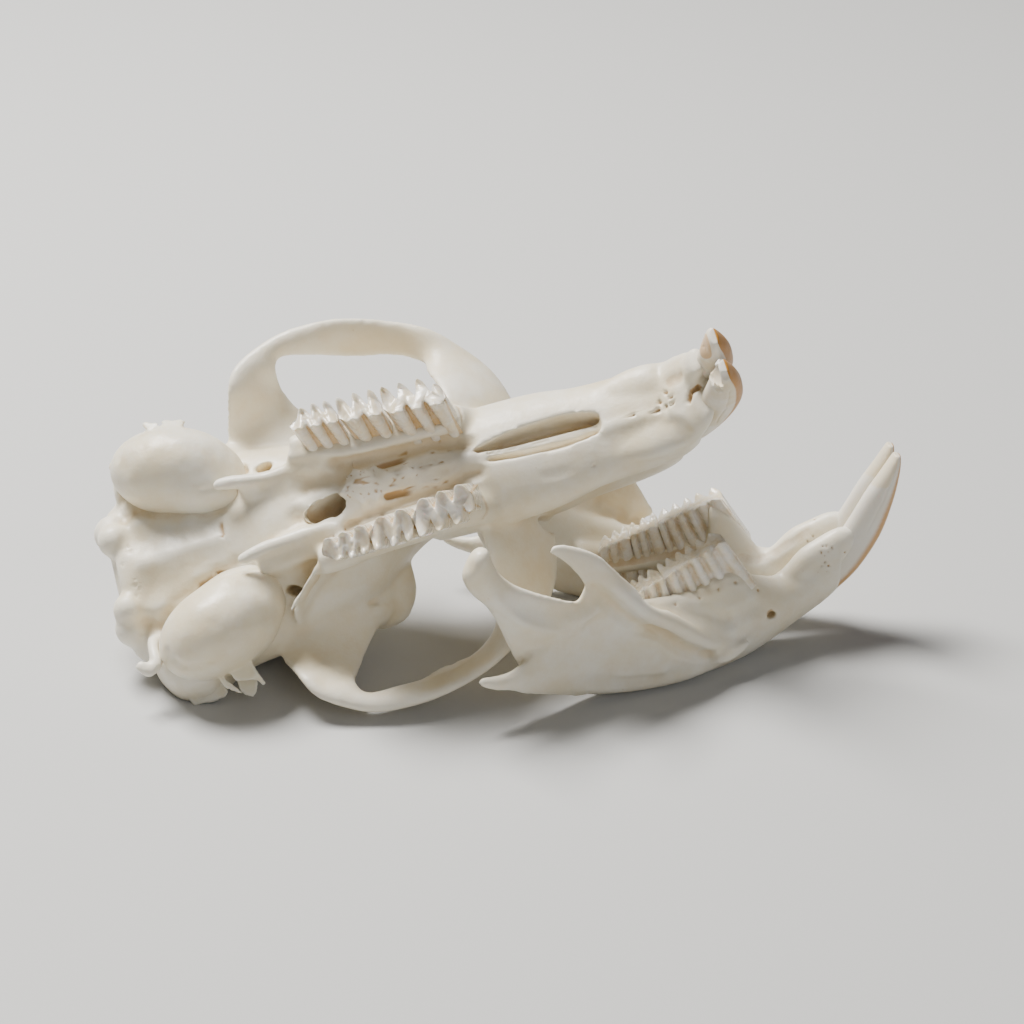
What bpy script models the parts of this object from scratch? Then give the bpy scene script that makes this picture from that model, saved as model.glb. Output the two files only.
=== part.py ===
"""Muskrat skull: the cranium lying on its back, palate up, and the lower jaw standing beside it."""

import math

import bmesh
import bpy
from mathutils import Matrix, Vector

# Driving sizes, in millimetres
arch_half_width = 20.6
bulla_size = (7.0, 4.5, 5.3)
# Each row's teeth from the rear: length, and points along its cheek side and its tongue side
upper_teeth = ((4.2, 3, 3), (4.5, 3, 2), (7.0, 3, 3))
lower_teeth = ((3.7, 3, 3), (4.0, 3, 3), (7.4, 5, 5))
upper_row_rear = 22.5
upper_crown_height = 3.6
lower_crown_height = 6.4
node_gap = 0.3
skin_grain = 0.4
floor_trim = 0.2
cranium_faces = 4200
jaw_faces = 1450
bulla_faces = 460

# How the two pieces lie: each axis of the cranium and of the jaw, in the room
cranium_forward = Vector((0.9642, 0.1575, 0.2132))
cranium_left = Vector((0.2608, -0.7089, -0.6553))
cranium_place = Vector((-39.09, -7.75, 14.2))
jaw_turn = math.radians(10.0)
jaw_place = Vector((-5.89, -2.85, -floor_trim))
# The two jaw halves are only loosely joined, and the left one has swung out a little
left_half_spread = math.radians(3.0)

# Each finish is its colour and its roughness
bone = ((0.80, 0.74, 0.60, 1.0), 0.5)
thin_bone = ((0.83, 0.78, 0.66, 1.0), 0.5)
upper_enamel = ((0.72, 0.36, 0.12, 1.0), 0.3)
lower_enamel = ((0.84, 0.72, 0.52, 1.0), 0.3)

circle_steps = 20
sides = {1: "left", -1: "right"}


def clear_scene():
    for thing in list(bpy.data.objects):
        bpy.data.objects.remove(thing)


def material(name, finish_of_surface):
    colour, roughness = finish_of_surface
    made = bpy.data.materials.new(name)
    made.use_nodes = True
    shader = made.node_tree.nodes["Principled BSDF"]
    shader.inputs["Base Color"].default_value = colour
    shader.inputs["Roughness"].default_value = roughness
    shader.inputs["Metallic"].default_value = 0.0
    return made


def between(before, start, end, after, share):
    """A point on the smooth curve through four neighbours."""
    square, cube = share * share, share * share * share
    return 0.5 * (
        2 * start
        + (end - before) * share
        + (2 * before - 5 * start + 4 * end - after) * square
        + (3 * start - before - 3 * end + after) * cube
    )


def smoothed(stations, steps):
    """More stations on the smooth curve through the given ones."""
    rows = [[Vector(part) for part in station] for station in stations]
    rows = [rows[0]] + rows + [rows[-1]]
    made = []
    for i in range(1, len(rows) - 2):
        for step in range(steps):
            share = step / steps
            nearby = zip(*rows[i - 1 : i + 3])
            made.append([between(a, b, c, d, share) for a, b, c, d in nearby])
    return made + [rows[-1]]


def loft(shape, stations, steps=3, side=1):
    """A closed body through oval sections, each (centre, half width, half height)."""
    flip = Matrix.Diagonal((1, side, 1, 1))
    rings = []
    for centre, wide, tall in smoothed(stations, steps):
        turn = Matrix((wide, tall, wide.cross(tall).normalized())).transposed().to_4x4()
        circle = bmesh.ops.create_circle(
            shape,
            segments=circle_steps,
            radius=1,
            matrix=flip @ Matrix.Translation(centre) @ turn,
        )
        edges = {edge for corner in circle["verts"] for edge in corner.link_edges}
        rings.append((circle["verts"], list(edges)))
    for (_, first), (_, second) in zip(rings, rings[1:]):
        bmesh.ops.bridge_loops(shape, edges=first + second)
    for corners, _ in (rings[0], rings[-1]):
        bmesh.ops.contextual_create(shape, geom=corners)


def level_loft(shape, stations, steps=3, side=1):
    """A loft along X through upright ovals, each (x, y, z, half width, half height)."""
    sections = [((x, y, z), (0, wide, 0), (0, 0, tall)) for x, y, z, wide, tall in stations]
    loft(shape, sections, steps, side)


def rod(shape, points, side=1, steps=4):
    """A round rod through points, each (x, y, z, radius)."""
    path = [Vector(point[:3]) for point in points]
    stations = []
    for i, point in enumerate(path):
        along = (path[min(i + 1, len(path) - 1)] - path[max(i - 1, 0)]).normalized()
        wide = along.orthogonal().normalized()
        if stations:
            last = stations[-1][1].normalized()
            wide = (last - along * last.dot(along)).normalized()
        tall = along.cross(wide)
        stations.append((point, wide * points[i][3], tall * points[i][3]))
    loft(shape, stations, steps, side)


def ball(shape, centre, radii, turn=0.0, side=1):
    place = Matrix.Diagonal((1, side, 1, 1)) @ Matrix.Translation(centre)
    place = place @ Matrix.Rotation(turn, 4, "Z") @ Matrix.Diagonal((*radii, 1))
    bmesh.ops.create_icosphere(shape, subdivisions=3, radius=1, matrix=place)


def mesh_object(name, shape):
    bmesh.ops.recalc_face_normals(shape, faces=shape.faces)
    mesh = bpy.data.meshes.new(name)
    shape.to_mesh(mesh)
    shape.free()
    made = bpy.data.objects.new(name, mesh)
    bpy.context.scene.collection.objects.link(made)
    return made


def drawn(name, draw, *values):
    shape = bmesh.new()
    draw(shape, *values)
    return mesh_object(name, shape)


def apply_modifiers(made):
    bpy.context.view_layer.update()
    graph = bpy.context.evaluated_depsgraph_get()
    mesh = bpy.data.meshes.new_from_object(made.evaluated_get(graph))
    made.modifiers.clear()
    made.data = mesh


def fuse(made, smoothing=6):
    """One skin over overlapping bodies, then smoothed."""
    skin = made.modifiers.new("skin", "REMESH")
    skin.mode = "VOXEL"
    skin.voxel_size = skin_grain
    soften = made.modifiers.new("soften", "SMOOTH")
    soften.factor = 0.5
    soften.iterations = smoothing
    apply_modifiers(made)


def combine(made, others, operation):
    """Join the other bodies to this one or cut them from it, then remove them."""
    group = bpy.data.collections.new("group")
    bpy.context.scene.collection.children.link(group)
    for other in others:
        group.objects.link(other)
    change = made.modifiers.new("combine", "BOOLEAN")
    change.operation = operation
    change.operand_type = "COLLECTION"
    change.collection = group
    change.solver = "MANIFOLD"
    apply_modifiers(made)
    for other in others:
        bpy.data.objects.remove(other)
    bpy.data.collections.remove(group)


def thin_out(made, triangles):
    shape = bmesh.new()
    shape.from_mesh(made.data)
    bmesh.ops.triangulate(shape, faces=shape.faces)
    count = len(shape.faces)
    shape.to_mesh(made.data)
    shape.free()
    if count > triangles:
        fewer = made.modifiers.new("fewer", "DECIMATE")
        fewer.ratio = triangles / count
        apply_modifiers(made)


def loose_parts(made):
    """The separate closed surfaces of an object, as lists of faces in a new bmesh."""
    shape = bmesh.new()
    shape.from_mesh(made.data)
    left = set(shape.faces)
    parts = []
    while left:
        part, front = set(), [left.pop()]
        while front:
            face = front.pop()
            part.add(face)
            for edge in face.edges:
                for other in edge.link_faces:
                    if other in left:
                        left.remove(other)
                        front.append(other)
        parts.append(part)
    return shape, parts


def keep_part(made, where=None):
    """Keep the largest closed surface, or the large one nearest to a place."""
    shape, parts = loose_parts(made)
    parts.sort(key=len, reverse=True)
    chosen = parts[0]
    if where is not None:
        large = [part for part in parts if len(part) > 0.02 * len(shape.faces)]

        def distance(part):
            middle = sum((face.calc_center_median() for face in part), Vector()) / len(part)
            return (middle - Vector(where)).length

        chosen = min(large, key=distance)
    extra = [face for part in parts if part is not chosen for face in part]
    bmesh.ops.delete(shape, geom=extra, context="FACES")
    shape.to_mesh(made.data)
    shape.free()


def copy_of(made, name):
    other = bpy.data.objects.new(name, made.data.copy())
    bpy.context.scene.collection.objects.link(other)
    return other


def slab(shape, centre, size, turn=0.0):
    """A box, turned about Y."""
    place = Matrix.Translation(centre) @ Matrix.Rotation(turn, 4, "Y")
    bmesh.ops.create_cube(shape, size=1, matrix=place @ Matrix.Diagonal((*size, 1)))


# Teeth
def zigzag_outline(teeth, wide, deep):
    """A row's chewing outline: sharp points on both sides with valleys between, rear end first."""
    points = []
    full_length = sum(length for length, _, _ in teeth)
    for which, sign in ((1, 1), (2, -1)):
        row = []
        start = 0.0
        for tooth in teeth:
            step = tooth[0] / tooth[which]
            for i in range(tooth[which]):
                middle = start + (i + 0.5) * step
                # The last tooth narrows to the rear and the first one to the front
                narrow = min(1.0, 0.72 + 0.13 * middle, 0.75 + 0.22 * (full_length - middle))
                row.append((middle, sign * narrow * wide / 2))
                row.append((middle + step / 2, sign * (narrow * wide / 2 - deep)))
            start += tooth[0]
        row.pop()
        points += row if sign > 0 else row[::-1]
    return points


def tooth_row(shape, outline, origin, along, across, down, height, side=1):
    """A zigzag outline drawn out into tall crowns."""
    flip = Matrix.Diagonal((1, side, 1))
    corners = []
    for x, y in outline:
        corner = Vector(origin) + Vector(along) * x + Vector(across) * y
        corners.append(shape.verts.new(flip @ corner))
    face = shape.faces.new(corners)
    drawn_out = bmesh.ops.extrude_face_region(shape, geom=[face])
    lower = [item for item in drawn_out["geom"] if isinstance(item, bmesh.types.BMVert)]
    bmesh.ops.translate(shape, verts=lower, vec=flip @ (Vector(down) * height))
    caps = [item for item in shape.faces if len(item.verts) > 4]
    bmesh.ops.triangulate(shape, faces=caps)


def upper_row(shape, side):
    root = 1.5
    tooth_row(
        shape,
        zigzag_outline(upper_teeth, 4.5, 1.5),
        (upper_row_rear, 5.75, -upper_crown_height),
        (1, -0.015, 0),
        (0, 1, 0),
        (0, 0, 1),
        upper_crown_height + root,
        side,
    )


def lower_row(shape, side):
    tooth_row(
        shape,
        zigzag_outline(lower_teeth, 3.5, 0.95),
        (14.9, 6.2, 7.2),
        (0.90, -0.14, 0.43),
        (0.15, 0.99, 0),
        (0.30, 0.02, -0.954),
        lower_crown_height,
        side,
    )


def curved_tooth(shape, offset, path, extra, side):
    """A loft along (x, z, half width, half depth), socket to tip, beside the middle plane."""
    stations = []
    for i, (x, z, wide, deep) in enumerate(path):
        before, after = path[max(i - 1, 0)], path[min(i + 1, len(path) - 1)]
        along = Vector((after[0] - before[0], 0, after[1] - before[1])).normalized()
        front = Vector((-along.z, 0, along.x))
        stations.append(((x, offset, z), Vector((0, wide + extra, 0)), front * (deep + extra)))
    loft(shape, stations, 2, side)


def upper_incisor(shape, side, extra=0.0):
    curved_tooth(
        shape,
        1.62,
        (
            (58.6, 4.8, 1.4, 1.7),
            (60.6, 3.2, 1.45, 1.8),
            (62.3, 0.4, 1.45, 1.85),
            (63.2, -2.8, 1.45, 1.8),
            (63.3, -6.0, 1.4, 1.5),
            (63.0, -8.4, 1.3, 0.9),
            (62.8, -9.9, 1.0, 0.35),
        ),
        extra,
        side,
    )


def lower_incisor(shape, side, extra=0.0):
    curved_tooth(
        shape,
        1.38,
        (
            (39.4, 6.6, 1.2, 1.6),
            (41.0, 8.6, 1.2, 1.6),
            (43.2, 11.8, 1.2, 1.4),
            (44.9, 15.2, 1.15, 1.15),
            (45.9, 17.7, 1.05, 0.8),
            (46.3, 19.3, 0.85, 0.5),
            (46.5, 20.1, 0.7, 0.3),
        ),
        extra,
        side,
    )


# Cranium: X forward from the condyles, Y left, Z up from the palate
def bulla(shape, side, extra=0.0):
    size = [radius + extra for radius in bulla_size]
    ball(shape, (9.9, 8.5, 5.0), size, math.radians(-16), side)


def braincase(shape):
    level_loft(
        shape,
        (
            (0.9, 0, 11.0, 5.0, 3.2),
            (2.2, 0, 10.6, 8.6, 4.6),
            (5.5, 0, 10.4, 10.4, 6.0),
            (11, 0, 10.6, 10.9, 7.0),
            (17, 0, 10.6, 10.7, 7.2),
            (22, 0, 10.4, 9.6, 7.0),
            (26, 0, 10.2, 7.9, 6.6),
            (29.5, 0, 9.8, 5.2, 6.0),
            (33, 0, 9.6, 3.2, 5.2),
            (37, 0, 9.4, 3.0, 5.0),
            (41, 0, 9.4, 3.8, 5.0),
            (45, 0, 9.4, 4.6, 4.7),
            (49, 0, 9.0, 4.1, 4.3),
            (54, 0, 8.4, 3.9, 4.2),
            (57.4, 0, 8.0, 3.5, 3.9),
            (59.2, 0, 7.8, 2.9, 3.4),
        ),
        2,
    )


def snout(shape):
    level_loft(
        shape,
        (
            (33, 0, 4.2, 6.0, 3.6),
            (38, 0, 4.0, 6.2, 3.9),
            (42, 0, 3.8, 6.2, 3.8),
            (46, 0, 3.4, 6.0, 3.3),
            (50, 0, 3.0, 5.3, 3.0),
            (54, 0, 2.6, 5.2, 3.0),
            (57.4, 0, 2.2, 5.4, 3.2),
            (59.2, 0, 1.9, 5.0, 3.3),
            (60.3, 0, 1.9, 4.1, 2.9),
        ),
        2,
    )
    # The bone that holds the incisors reaches further down behind them
    loft(
        shape,
        (
            ((58.4, 0, 1.6), (2.6, 0, 0), (0, 4.7, 0)),
            ((59.8, 0, -0.6), (2.3, 0, 0), (0, 4.4, 0)),
            ((60.9, 0, -2.4), (1.5, 0, 0), (0, 3.9, 0)),
            ((61.3, 0, -3.2), (0.9, 0, 0), (0, 3.2, 0)),
        ),
        3,
    )


def skull_base(shape):
    level_loft(
        shape,
        (
            (1.6, 0, 7.2, 4.6, 1.8),
            (5, 0, 6.6, 4.6, 2.2),
            (10, 0, 6.4, 3.6, 2.2),
            (14, 0, 6.3, 4.4, 2.2),
            (18, 0, 5.8, 4.6, 2.6),
            (22, 0, 4.6, 6.2, 3.4),
            (26, 0, 3.4, 6.9, 3.4),
            (31, 0, 3.2, 6.9, 3.3),
            (36, 0, 3.3, 6.8, 3.3),
            (39, 0, 3.6, 6.0, 3.2),
        ),
        2,
    )


def sides_of_skull(shape, side):
    """Neck joint, hooked process, rear corner, eye-socket crest, palate ridges and tooth sockets."""
    ball(shape, (1.7, 4.5, 8.2), (2.1, 2.4, 3.1), math.radians(20), side)
    hook = ((5.2, 10.0, 9.0, 1.8), (3.4, 10.6, 6.5, 1.2), (2.3, 11.0, 4.3, 0.8), (2.6, 11.4, 3.4, 0.6))
    if side > 0:
        # The right side's hooked process is broken off
        rod(shape, hook)
    level_loft(
        shape,
        (
            (2.8, 8.6, 9.8, 2.0, 3.0),
            (4.6, 10.8, 9.3, 2.6, 3.6),
            (7.6, 11.6, 9.1, 2.6, 3.7),
            (11.0, 10.4, 8.8, 1.8, 3.0),
            (14.6, 9.7, 9.2, 1.8, 2.4),
            (18.5, 9.2, 10.4, 1.4, 1.8),
        ),
        2,
        side,
    )
    loft(
        shape,
        (
            ((25.5, 3.0, 12.0), (4.2, 0, 0), (0, 0, 2.6)),
            ((26.6, 6.4, 12.7), (3.2, -0.6, 0), (0, 0, 2.0)),
            ((27.8, 8.5, 13.3), (1.9, -0.7, 0), (0, 0, 1.3)),
            ((28.2, 9.3, 13.5), (1.0, -0.4, 0), (0, 0, 0.8)),
        ),
        3,
        side,
    )
    outer_ridge = ((22.4, 6.4, 1.6, 0.8), (20.0, 7.5, 2.8, 0.65), (17.2, 8.9, 4.6, 0.8))
    inner_ridge = ((23.0, 3.7, 1.6, 0.9), (18.5, 3.8, 2.6, 0.8), (13.4, 4.4, 3.6, 0.8))
    rod(shape, outer_ridge, side)
    rod(shape, inner_ridge, side)
    level_loft(
        shape,
        (
            (21.6, 6.0, 1.8, 1.8, 2.2),
            (24.0, 5.8, 1.6, 2.2, 2.2),
            (35.0, 5.6, 1.6, 2.2, 2.3),
            (38.6, 5.0, 3.2, 1.8, 2.0),
        ),
        2,
        side,
    )


def arch(shape, side):
    """The cheek bone, from its root on the snout, out and back to its root on the braincase."""
    wide = arch_half_width
    loft(
        shape,
        (
            ((41.0, 3.5, 7.0), (3.6, 0, 3.6), (-0.7, 0, 1.0)),
            ((40.8, 8.0, 7.0), (3.5, 0, 3.7), (-0.7, 0, 0.8)),
            ((40.0, 11.2, 7.3), (3.1, 0.8, 2.7), (-0.5, 0, 0.75)),
            ((38.4, 13.9, 7.6), (2.1, 1.4, 1.1), (-0.35, 0, 0.8)),
            ((36.2, 15.9, 7.7), (0.8, 1.6, -0.3), (0.1, 0.2, 0.8)),
            ((33.8, wide - 2.9, 7.3), (0.2, 1.7, -0.7), (0, 0.35, 0.8)),
            ((29.5, wide - 1.75, 6.9), (0, 1.75, -1.5), (0, 0.6, 0.7)),
            ((25.5, wide - 1.15, 6.5), (-0.1, 1.2, -1.1), (0, 0.7, 0.8)),
            ((22.2, wide - 1.3, 6.1), (-0.3, 0.75, -0.7), (-0.2, 0.5, 0.7)),
            ((19.1, 17.5, 5.6), (-1.3, 0.4, -1.0), (-0.3, 0.3, 0.7)),
            ((18.7, 15.2, 7.3), (-2.3, 0, -2.6), (-0.7, 0, 0.7)),
            ((19.2, 12.4, 9.4), (-4.2, 0, -1.2), (-0.2, 0, 1.0)),
            ((20.0, 9.0, 10.2), (-5.0, 0, -0.6), (-0.2, 0, 1.8)),
        ),
        3,
        side,
    )


def skull_hollows(shape):
    """The spine's opening, the hollow behind the palate and the nose's opening."""
    level_loft(shape, ((-2, 0, 10.4, 3.4, 2.4), (2, 0, 10.6, 3.2, 2.3), (7, 0, 10.8, 2.2, 1.8)))
    level_loft(shape, ((20.4, 0, 3.4, 1.2, 2.0), (23, 0, 2.0, 1.7, 2.6), (25.4, 0, 1.4, 1.0, 1.6)))
    level_loft(shape, ((53.5, 0, 8.4, 1.2, 1.2), (57, 0, 8.2, 1.9, 1.9), (61, 0, 8.2, 2.3, 2.5)))


def palate_slit(shape, side):
    level_loft(
        shape,
        (
            (38.2, 0.45, 1.0, 0.1, 1.8),
            (42.0, 1.05, 0.6, 0.55, 2.4),
            (47.0, 1.15, 0.4, 0.75, 2.6),
            (51.2, 0.5, 0.6, 0.15, 1.6),
        ),
        3,
        side,
    )


# Lower jaw half: X forward from the condyle, Y out from the middle, Z up from its lower edge
def jaw_half(shape, side):
    level_loft(
        shape,
        (
            (10.5, 10.6, 6.8, 0.9, 4.6),
            (14, 9.7, 5.7, 1.3, 5.2),
            (18, 8.5, 5.0, 2.0, 5.0),
            (22, 7.3, 4.6, 2.6, 4.8),
            (26, 6.0, 4.5, 2.8, 4.8),
            (29.5, 4.8, 4.9, 2.7, 4.9),
            (32.0, 3.7, 4.6, 2.5, 4.2),
            (34.5, 2.9, 4.8, 2.4, 3.2),
            (37.0, 2.2, 5.6, 2.0, 2.8),
            (39.4, 1.95, 7.3, 1.9, 3.0),
            (40.9, 1.9, 8.4, 1.75, 2.7),
        ),
        2,
        side,
    )
    loft(
        shape,
        (
            ((15.5, 9.9, 8.0), (6.0, 0, 0), (0, 0.8, 0)),
            ((15.1, 10.3, 11.3), (3.6, 0, 0.6), (0, 0.75, 0)),
            ((14.5, 10.8, 14.0), (1.8, 0, 0.6), (0, 0.7, 0)),
            ((12.8, 11.2, 16.4), (1.2, 0, 0.8), (0, 0.6, 0)),
            ((10.6, 11.4, 17.9), (0.5, 0, 0.7), (0, 0.45, 0)),
            ((9.3, 11.5, 18.3), (0.1, 0, 0.4), (0, 0.3, 0)),
        ),
        3,
        side,
    )
    loft(
        shape,
        (
            ((11.5, 10.7, 8.4), (3.0, 0, 3.2), (0, 0.9, 0)),
            ((8.1, 11.2, 10.4), (2.1, 0, 2.5), (0, 0.8, 0)),
            ((5.0, 11.7, 14.0), (1.2, 0, 1.2), (0, 0.9, 0)),
            ((2.9, 12.0, 16.9), (1.0, 0, 0.7), (0, 1.1, 0)),
            ((2.0, 12.0, 18.6), (0.8, 0, 0.3), (0, 0.9, 0)),
        ),
        3,
        side,
    )
    ball(shape, (1.9, 12.0, 17.8), (1.35, 1.3, 1.5), 0, side)
    loft(
        shape,
        (
            ((13.0, 10.4, 4.6), (0, 0, 3.8), (0, 0.8, 0)),
            ((9.4, 11.4, 5.2), (0, 0, 3.0), (0.2, 0.75, 0)),
            ((6.4, 12.4, 4.8), (0, 0, 1.8), (0.2, 0.7, 0)),
            ((4.0, 13.2, 5.0), (0, 0, 1.0), (0.2, 0.6, 0)),
            ((2.2, 13.8, 5.5), (0, 0, 0.5), (0.1, 0.45, 0)),
        ),
        3,
        side,
    )
    front_ridge = (
        (12.4, 11.0, 17.2, 0.5),
        (16.0, 10.5, 14.4, 0.65),
        (19.6, 10.0, 11.0, 0.75),
        (22.6, 9.0, 7.9, 0.9),
        (26.0, 8.2, 4.6, 0.9),
        (30.4, 6.2, 2.8, 0.7),
    )
    lower_ridge = (
        (9.0, 11.4, 3.6, 0.7),
        (16.0, 10.0, 1.4, 0.8),
        (24.0, 8.2, 1.2, 0.9),
        (29.6, 6.2, 2.4, 0.7),
    )
    rod(shape, front_ridge, side)
    rod(shape, lower_ridge, side)
    level_loft(
        shape,
        (
            (15.6, 6.6, 7.0, 1.6, 1.6),
            (20.0, 6.2, 7.4, 2.0, 2.2),
            (27.0, 4.9, 8.3, 2.1, 2.3),
            (30.4, 4.3, 8.8, 1.7, 1.7),
        ),
        2,
        side,
    )


def jaw_midline_cut(shape):
    slab(shape, (34, 0, 8), (40, node_gap, 40))


def place_of(forward, left, spot):
    up = forward.cross(left)
    turn = Matrix((forward, left, up)).transposed().to_4x4()
    return Matrix.Scale(0.001, 4) @ Matrix.Translation(spot) @ turn


def finish(made, name, surface, place):
    """Put the piece in the room, trim what would sink below the floor, and give it its finish."""
    made.name = name
    made.data.name = name
    made.data.transform(place)
    below = drawn("below", slab, (0, 0, -0.02), (0.3, 0.3, 0.04))
    if min(corner.co.z for corner in made.data.vertices) < 0:
        combine(made, [below], "DIFFERENCE")
    else:
        bpy.data.objects.remove(below)
    keep_part(made)
    made.data.materials.clear()
    made.data.materials.append(material(name, surface))
    for face in made.data.polygons:
        face.use_smooth = False


def cranium_skin():
    """The whole cranium as one body, with its openings, sockets and tooth rows."""
    shape = bmesh.new()
    braincase(shape)
    snout(shape)
    skull_base(shape)
    for side in sides:
        sides_of_skull(shape, side)
        arch(shape, side)
    made = mesh_object("cranium", shape)
    fuse(made)
    thin_out(made, cranium_faces)
    cutters = [drawn("hollow", skull_hollows)]
    for side in sides:
        cutters.append(drawn("slit", palate_slit, side))
        cutters.append(drawn("bulla_socket", bulla, side, node_gap))
        cutters.append(drawn("tooth_socket", upper_incisor, side, node_gap))
    combine(made, cutters, "DIFFERENCE")
    combine(made, [drawn("row", upper_row, side) for side in sides], "UNION")
    return made


def part_cranium(made):
    """Thin cuts at both roots of each cheek arch, and one across the eye sockets."""
    cuts = []
    for side in sides:
        cuts.append(drawn("front_cut", slab, (41, 8.6 * side, 6), (14, node_gap, 20)))
        cuts.append(drawn("rear_cut", slab, (18.5, 12.4 * side, 7), (12, node_gap, 12)))
    lean = math.atan2(9.5, 22)
    cuts.append(drawn("face_cut", slab, (25.6, 0, 7), (node_gap, 24, 34), lean))
    combine(made, cuts, "DIFFERENCE")


def build_cranium():
    room = place_of(cranium_forward, cranium_left, cranium_place)
    cranium = cranium_skin()
    part_cranium(cranium)
    middles = {
        "braincase": (13, 0, 9),
        "snout_and_palate": (42, 0, 5),
        "cheek_arch_left": (29, 17, 6.5),
        "cheek_arch_right": (29, -17, 6.5),
    }
    for name, middle in middles.items():
        piece = copy_of(cranium, name)
        keep_part(piece, middle)
        finish(piece, name, bone, room)
    bpy.data.objects.remove(cranium)
    for side, name in sides.items():
        piece = drawn("bulla", bulla, side)
        fuse(piece, 2)
        thin_out(piece, bulla_faces)
        finish(piece, "ear_bulla_" + name, thin_bone, room)
        finish(drawn("incisor", upper_incisor, side), "upper_incisor_" + name, upper_enamel, room)


def build_jaw():
    forward = Vector((math.cos(jaw_turn), math.sin(jaw_turn), 0))
    left = Vector((-math.sin(jaw_turn), math.cos(jaw_turn), 0))
    room = place_of(forward, left, jaw_place)
    joint = Matrix.Translation((38, 0, 0))
    swing = joint @ Matrix.Rotation(-left_half_spread, 4, "Z") @ joint.inverted()
    for side, name in sides.items():
        half = drawn("jaw", jaw_half, side)
        fuse(half)
        thin_out(half, jaw_faces)
        cutters = [
            drawn("middle", jaw_midline_cut),
            drawn("tooth_socket", lower_incisor, side, node_gap),
        ]
        combine(half, cutters, "DIFFERENCE")
        keep_part(half)
        combine(half, [drawn("row", lower_row, side)], "UNION")
        place = room @ swing if side > 0 else room
        finish(half, "jaw_" + name, bone, place)
        finish(drawn("incisor", lower_incisor, side), "lower_incisor_" + name, lower_enamel, place)


clear_scene()
build_cranium()
build_jaw()
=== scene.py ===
import math

import bmesh
import bpy
import numpy as np
from mathutils import Matrix, Vector


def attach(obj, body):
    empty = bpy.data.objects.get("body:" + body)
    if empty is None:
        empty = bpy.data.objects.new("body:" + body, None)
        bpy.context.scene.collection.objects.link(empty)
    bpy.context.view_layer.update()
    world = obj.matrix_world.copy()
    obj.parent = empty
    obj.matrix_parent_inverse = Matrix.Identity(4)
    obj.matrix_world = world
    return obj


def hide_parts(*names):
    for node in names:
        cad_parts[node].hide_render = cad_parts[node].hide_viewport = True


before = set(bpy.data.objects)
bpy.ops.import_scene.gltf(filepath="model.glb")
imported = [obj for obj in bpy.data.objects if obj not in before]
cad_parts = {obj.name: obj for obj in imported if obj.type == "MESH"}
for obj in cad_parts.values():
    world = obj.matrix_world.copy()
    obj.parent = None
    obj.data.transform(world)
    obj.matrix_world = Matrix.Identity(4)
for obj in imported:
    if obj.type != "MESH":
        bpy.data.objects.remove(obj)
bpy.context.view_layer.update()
print("frame loaded:", len(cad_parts), "nodes")

# Everything is modelled in millimetres in the bone's own directions and laid in the room at the end
pose = {
    "craniumForward": (0.9642, 0.1575, 0.2132),
    "craniumLeft": (0.2608, -0.7089, -0.6553),
    "craniumPlace": (-39.09, -7.75, 14.2),
    "jawTurn": 10,          # degrees
    "jawPlace": (-5.89, -2.85, -0.2),
    "leftHalfSpread": 3,    # degrees, the left half has swung out
    "chinHinge": (38, 0, 0),
}
sides = {1: "left", -1: "right"}
dice = np.random.default_rng(7)

# How finely bodies are drawn: steps between stations, and corners round an oval
fineness = {
    "ovalSteps": 4, "levelSteps": 3, "rodSteps": 5, "hollowSteps": 4, "holeSteps": 3,
    "ovalCorners": 28, "rodCorners": 20, "ballCuts": 4,
}
farAway = 1e9


def between(before, start, end, after, share):
    # smooth curve from start to end, led by the stations beside them
    square = share * share
    cube = square * share
    return 0.5 * (
        2 * start
        + (end - before) * share
        + (2 * before - 5 * start + 4 * end - after) * square
        + (3 * start - before - 3 * end + after) * cube
    )


def smoothRows(stations, steps):
    rows = [[Vector(part) for part in station] for station in stations]
    rows = [rows[0]] + rows + [rows[-1]]
    made = []
    for i in range(1, len(rows) - 2):
        for step in range(steps):
            nearby = zip(*rows[i - 1 : i + 3])
            made.append([between(a, b, c, d, step / steps) for a, b, c, d in nearby])
    return made + [rows[-1]]


def loft(shape, stations, side=1, steps=fineness["ovalSteps"], corners=fineness["ovalCorners"]):
    # closed body through ovals, each (centre, half width, half height)
    flip = Matrix.Diagonal((1, side, 1, 1))
    rings = []
    for centre, wide, tall in smoothRows(stations, steps):
        turn = Matrix((wide, tall, wide.cross(tall).normalized())).transposed().to_4x4()
        place = flip @ Matrix.Translation(centre) @ turn
        ring = bmesh.ops.create_circle(shape, segments=corners, radius=1, matrix=place)["verts"]
        edges = {edge for corner in ring for edge in corner.link_edges}
        rings.append((ring, list(edges)))
    for (_, first), (_, second) in zip(rings, rings[1:]):
        bmesh.ops.bridge_loops(shape, edges=first + second)
    for ring, _ in (rings[0], rings[-1]):
        bmesh.ops.contextual_create(shape, geom=ring)


def levelLoft(shape, stations, side=1, steps=fineness["levelSteps"]):
    # upright ovals along X, each (x, y, z, half width, half height)
    loft(shape, [((x, y, z), (0, w, 0), (0, 0, h)) for x, y, z, w, h in stations], side, steps)


def rod(shape, points, side=1):
    # round rod through (x, y, z, radius)
    path = [Vector(point[:3]) for point in points]
    stations = []
    for i, point in enumerate(path):
        along = (path[min(i + 1, len(path) - 1)] - path[max(i - 1, 0)]).normalized()
        wide = along.orthogonal().normalized()
        if stations:
            last = stations[-1][1].normalized()
            wide = (last - along * last.dot(along)).normalized()
        tall = along.cross(wide)
        stations.append((point, wide * points[i][3], tall * points[i][3]))
    loft(shape, stations, side, fineness["rodSteps"], fineness["rodCorners"])


def addParts(shape, table, names, side=1):
    # rows of three vectors are free ovals, of four numbers a rod, of five numbers upright ovals
    kinds = {3: loft, 4: rod, 5: levelLoft}
    for name in names:
        rows = table[name]
        kinds[len(rows[0])](shape, rows, side)


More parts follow.
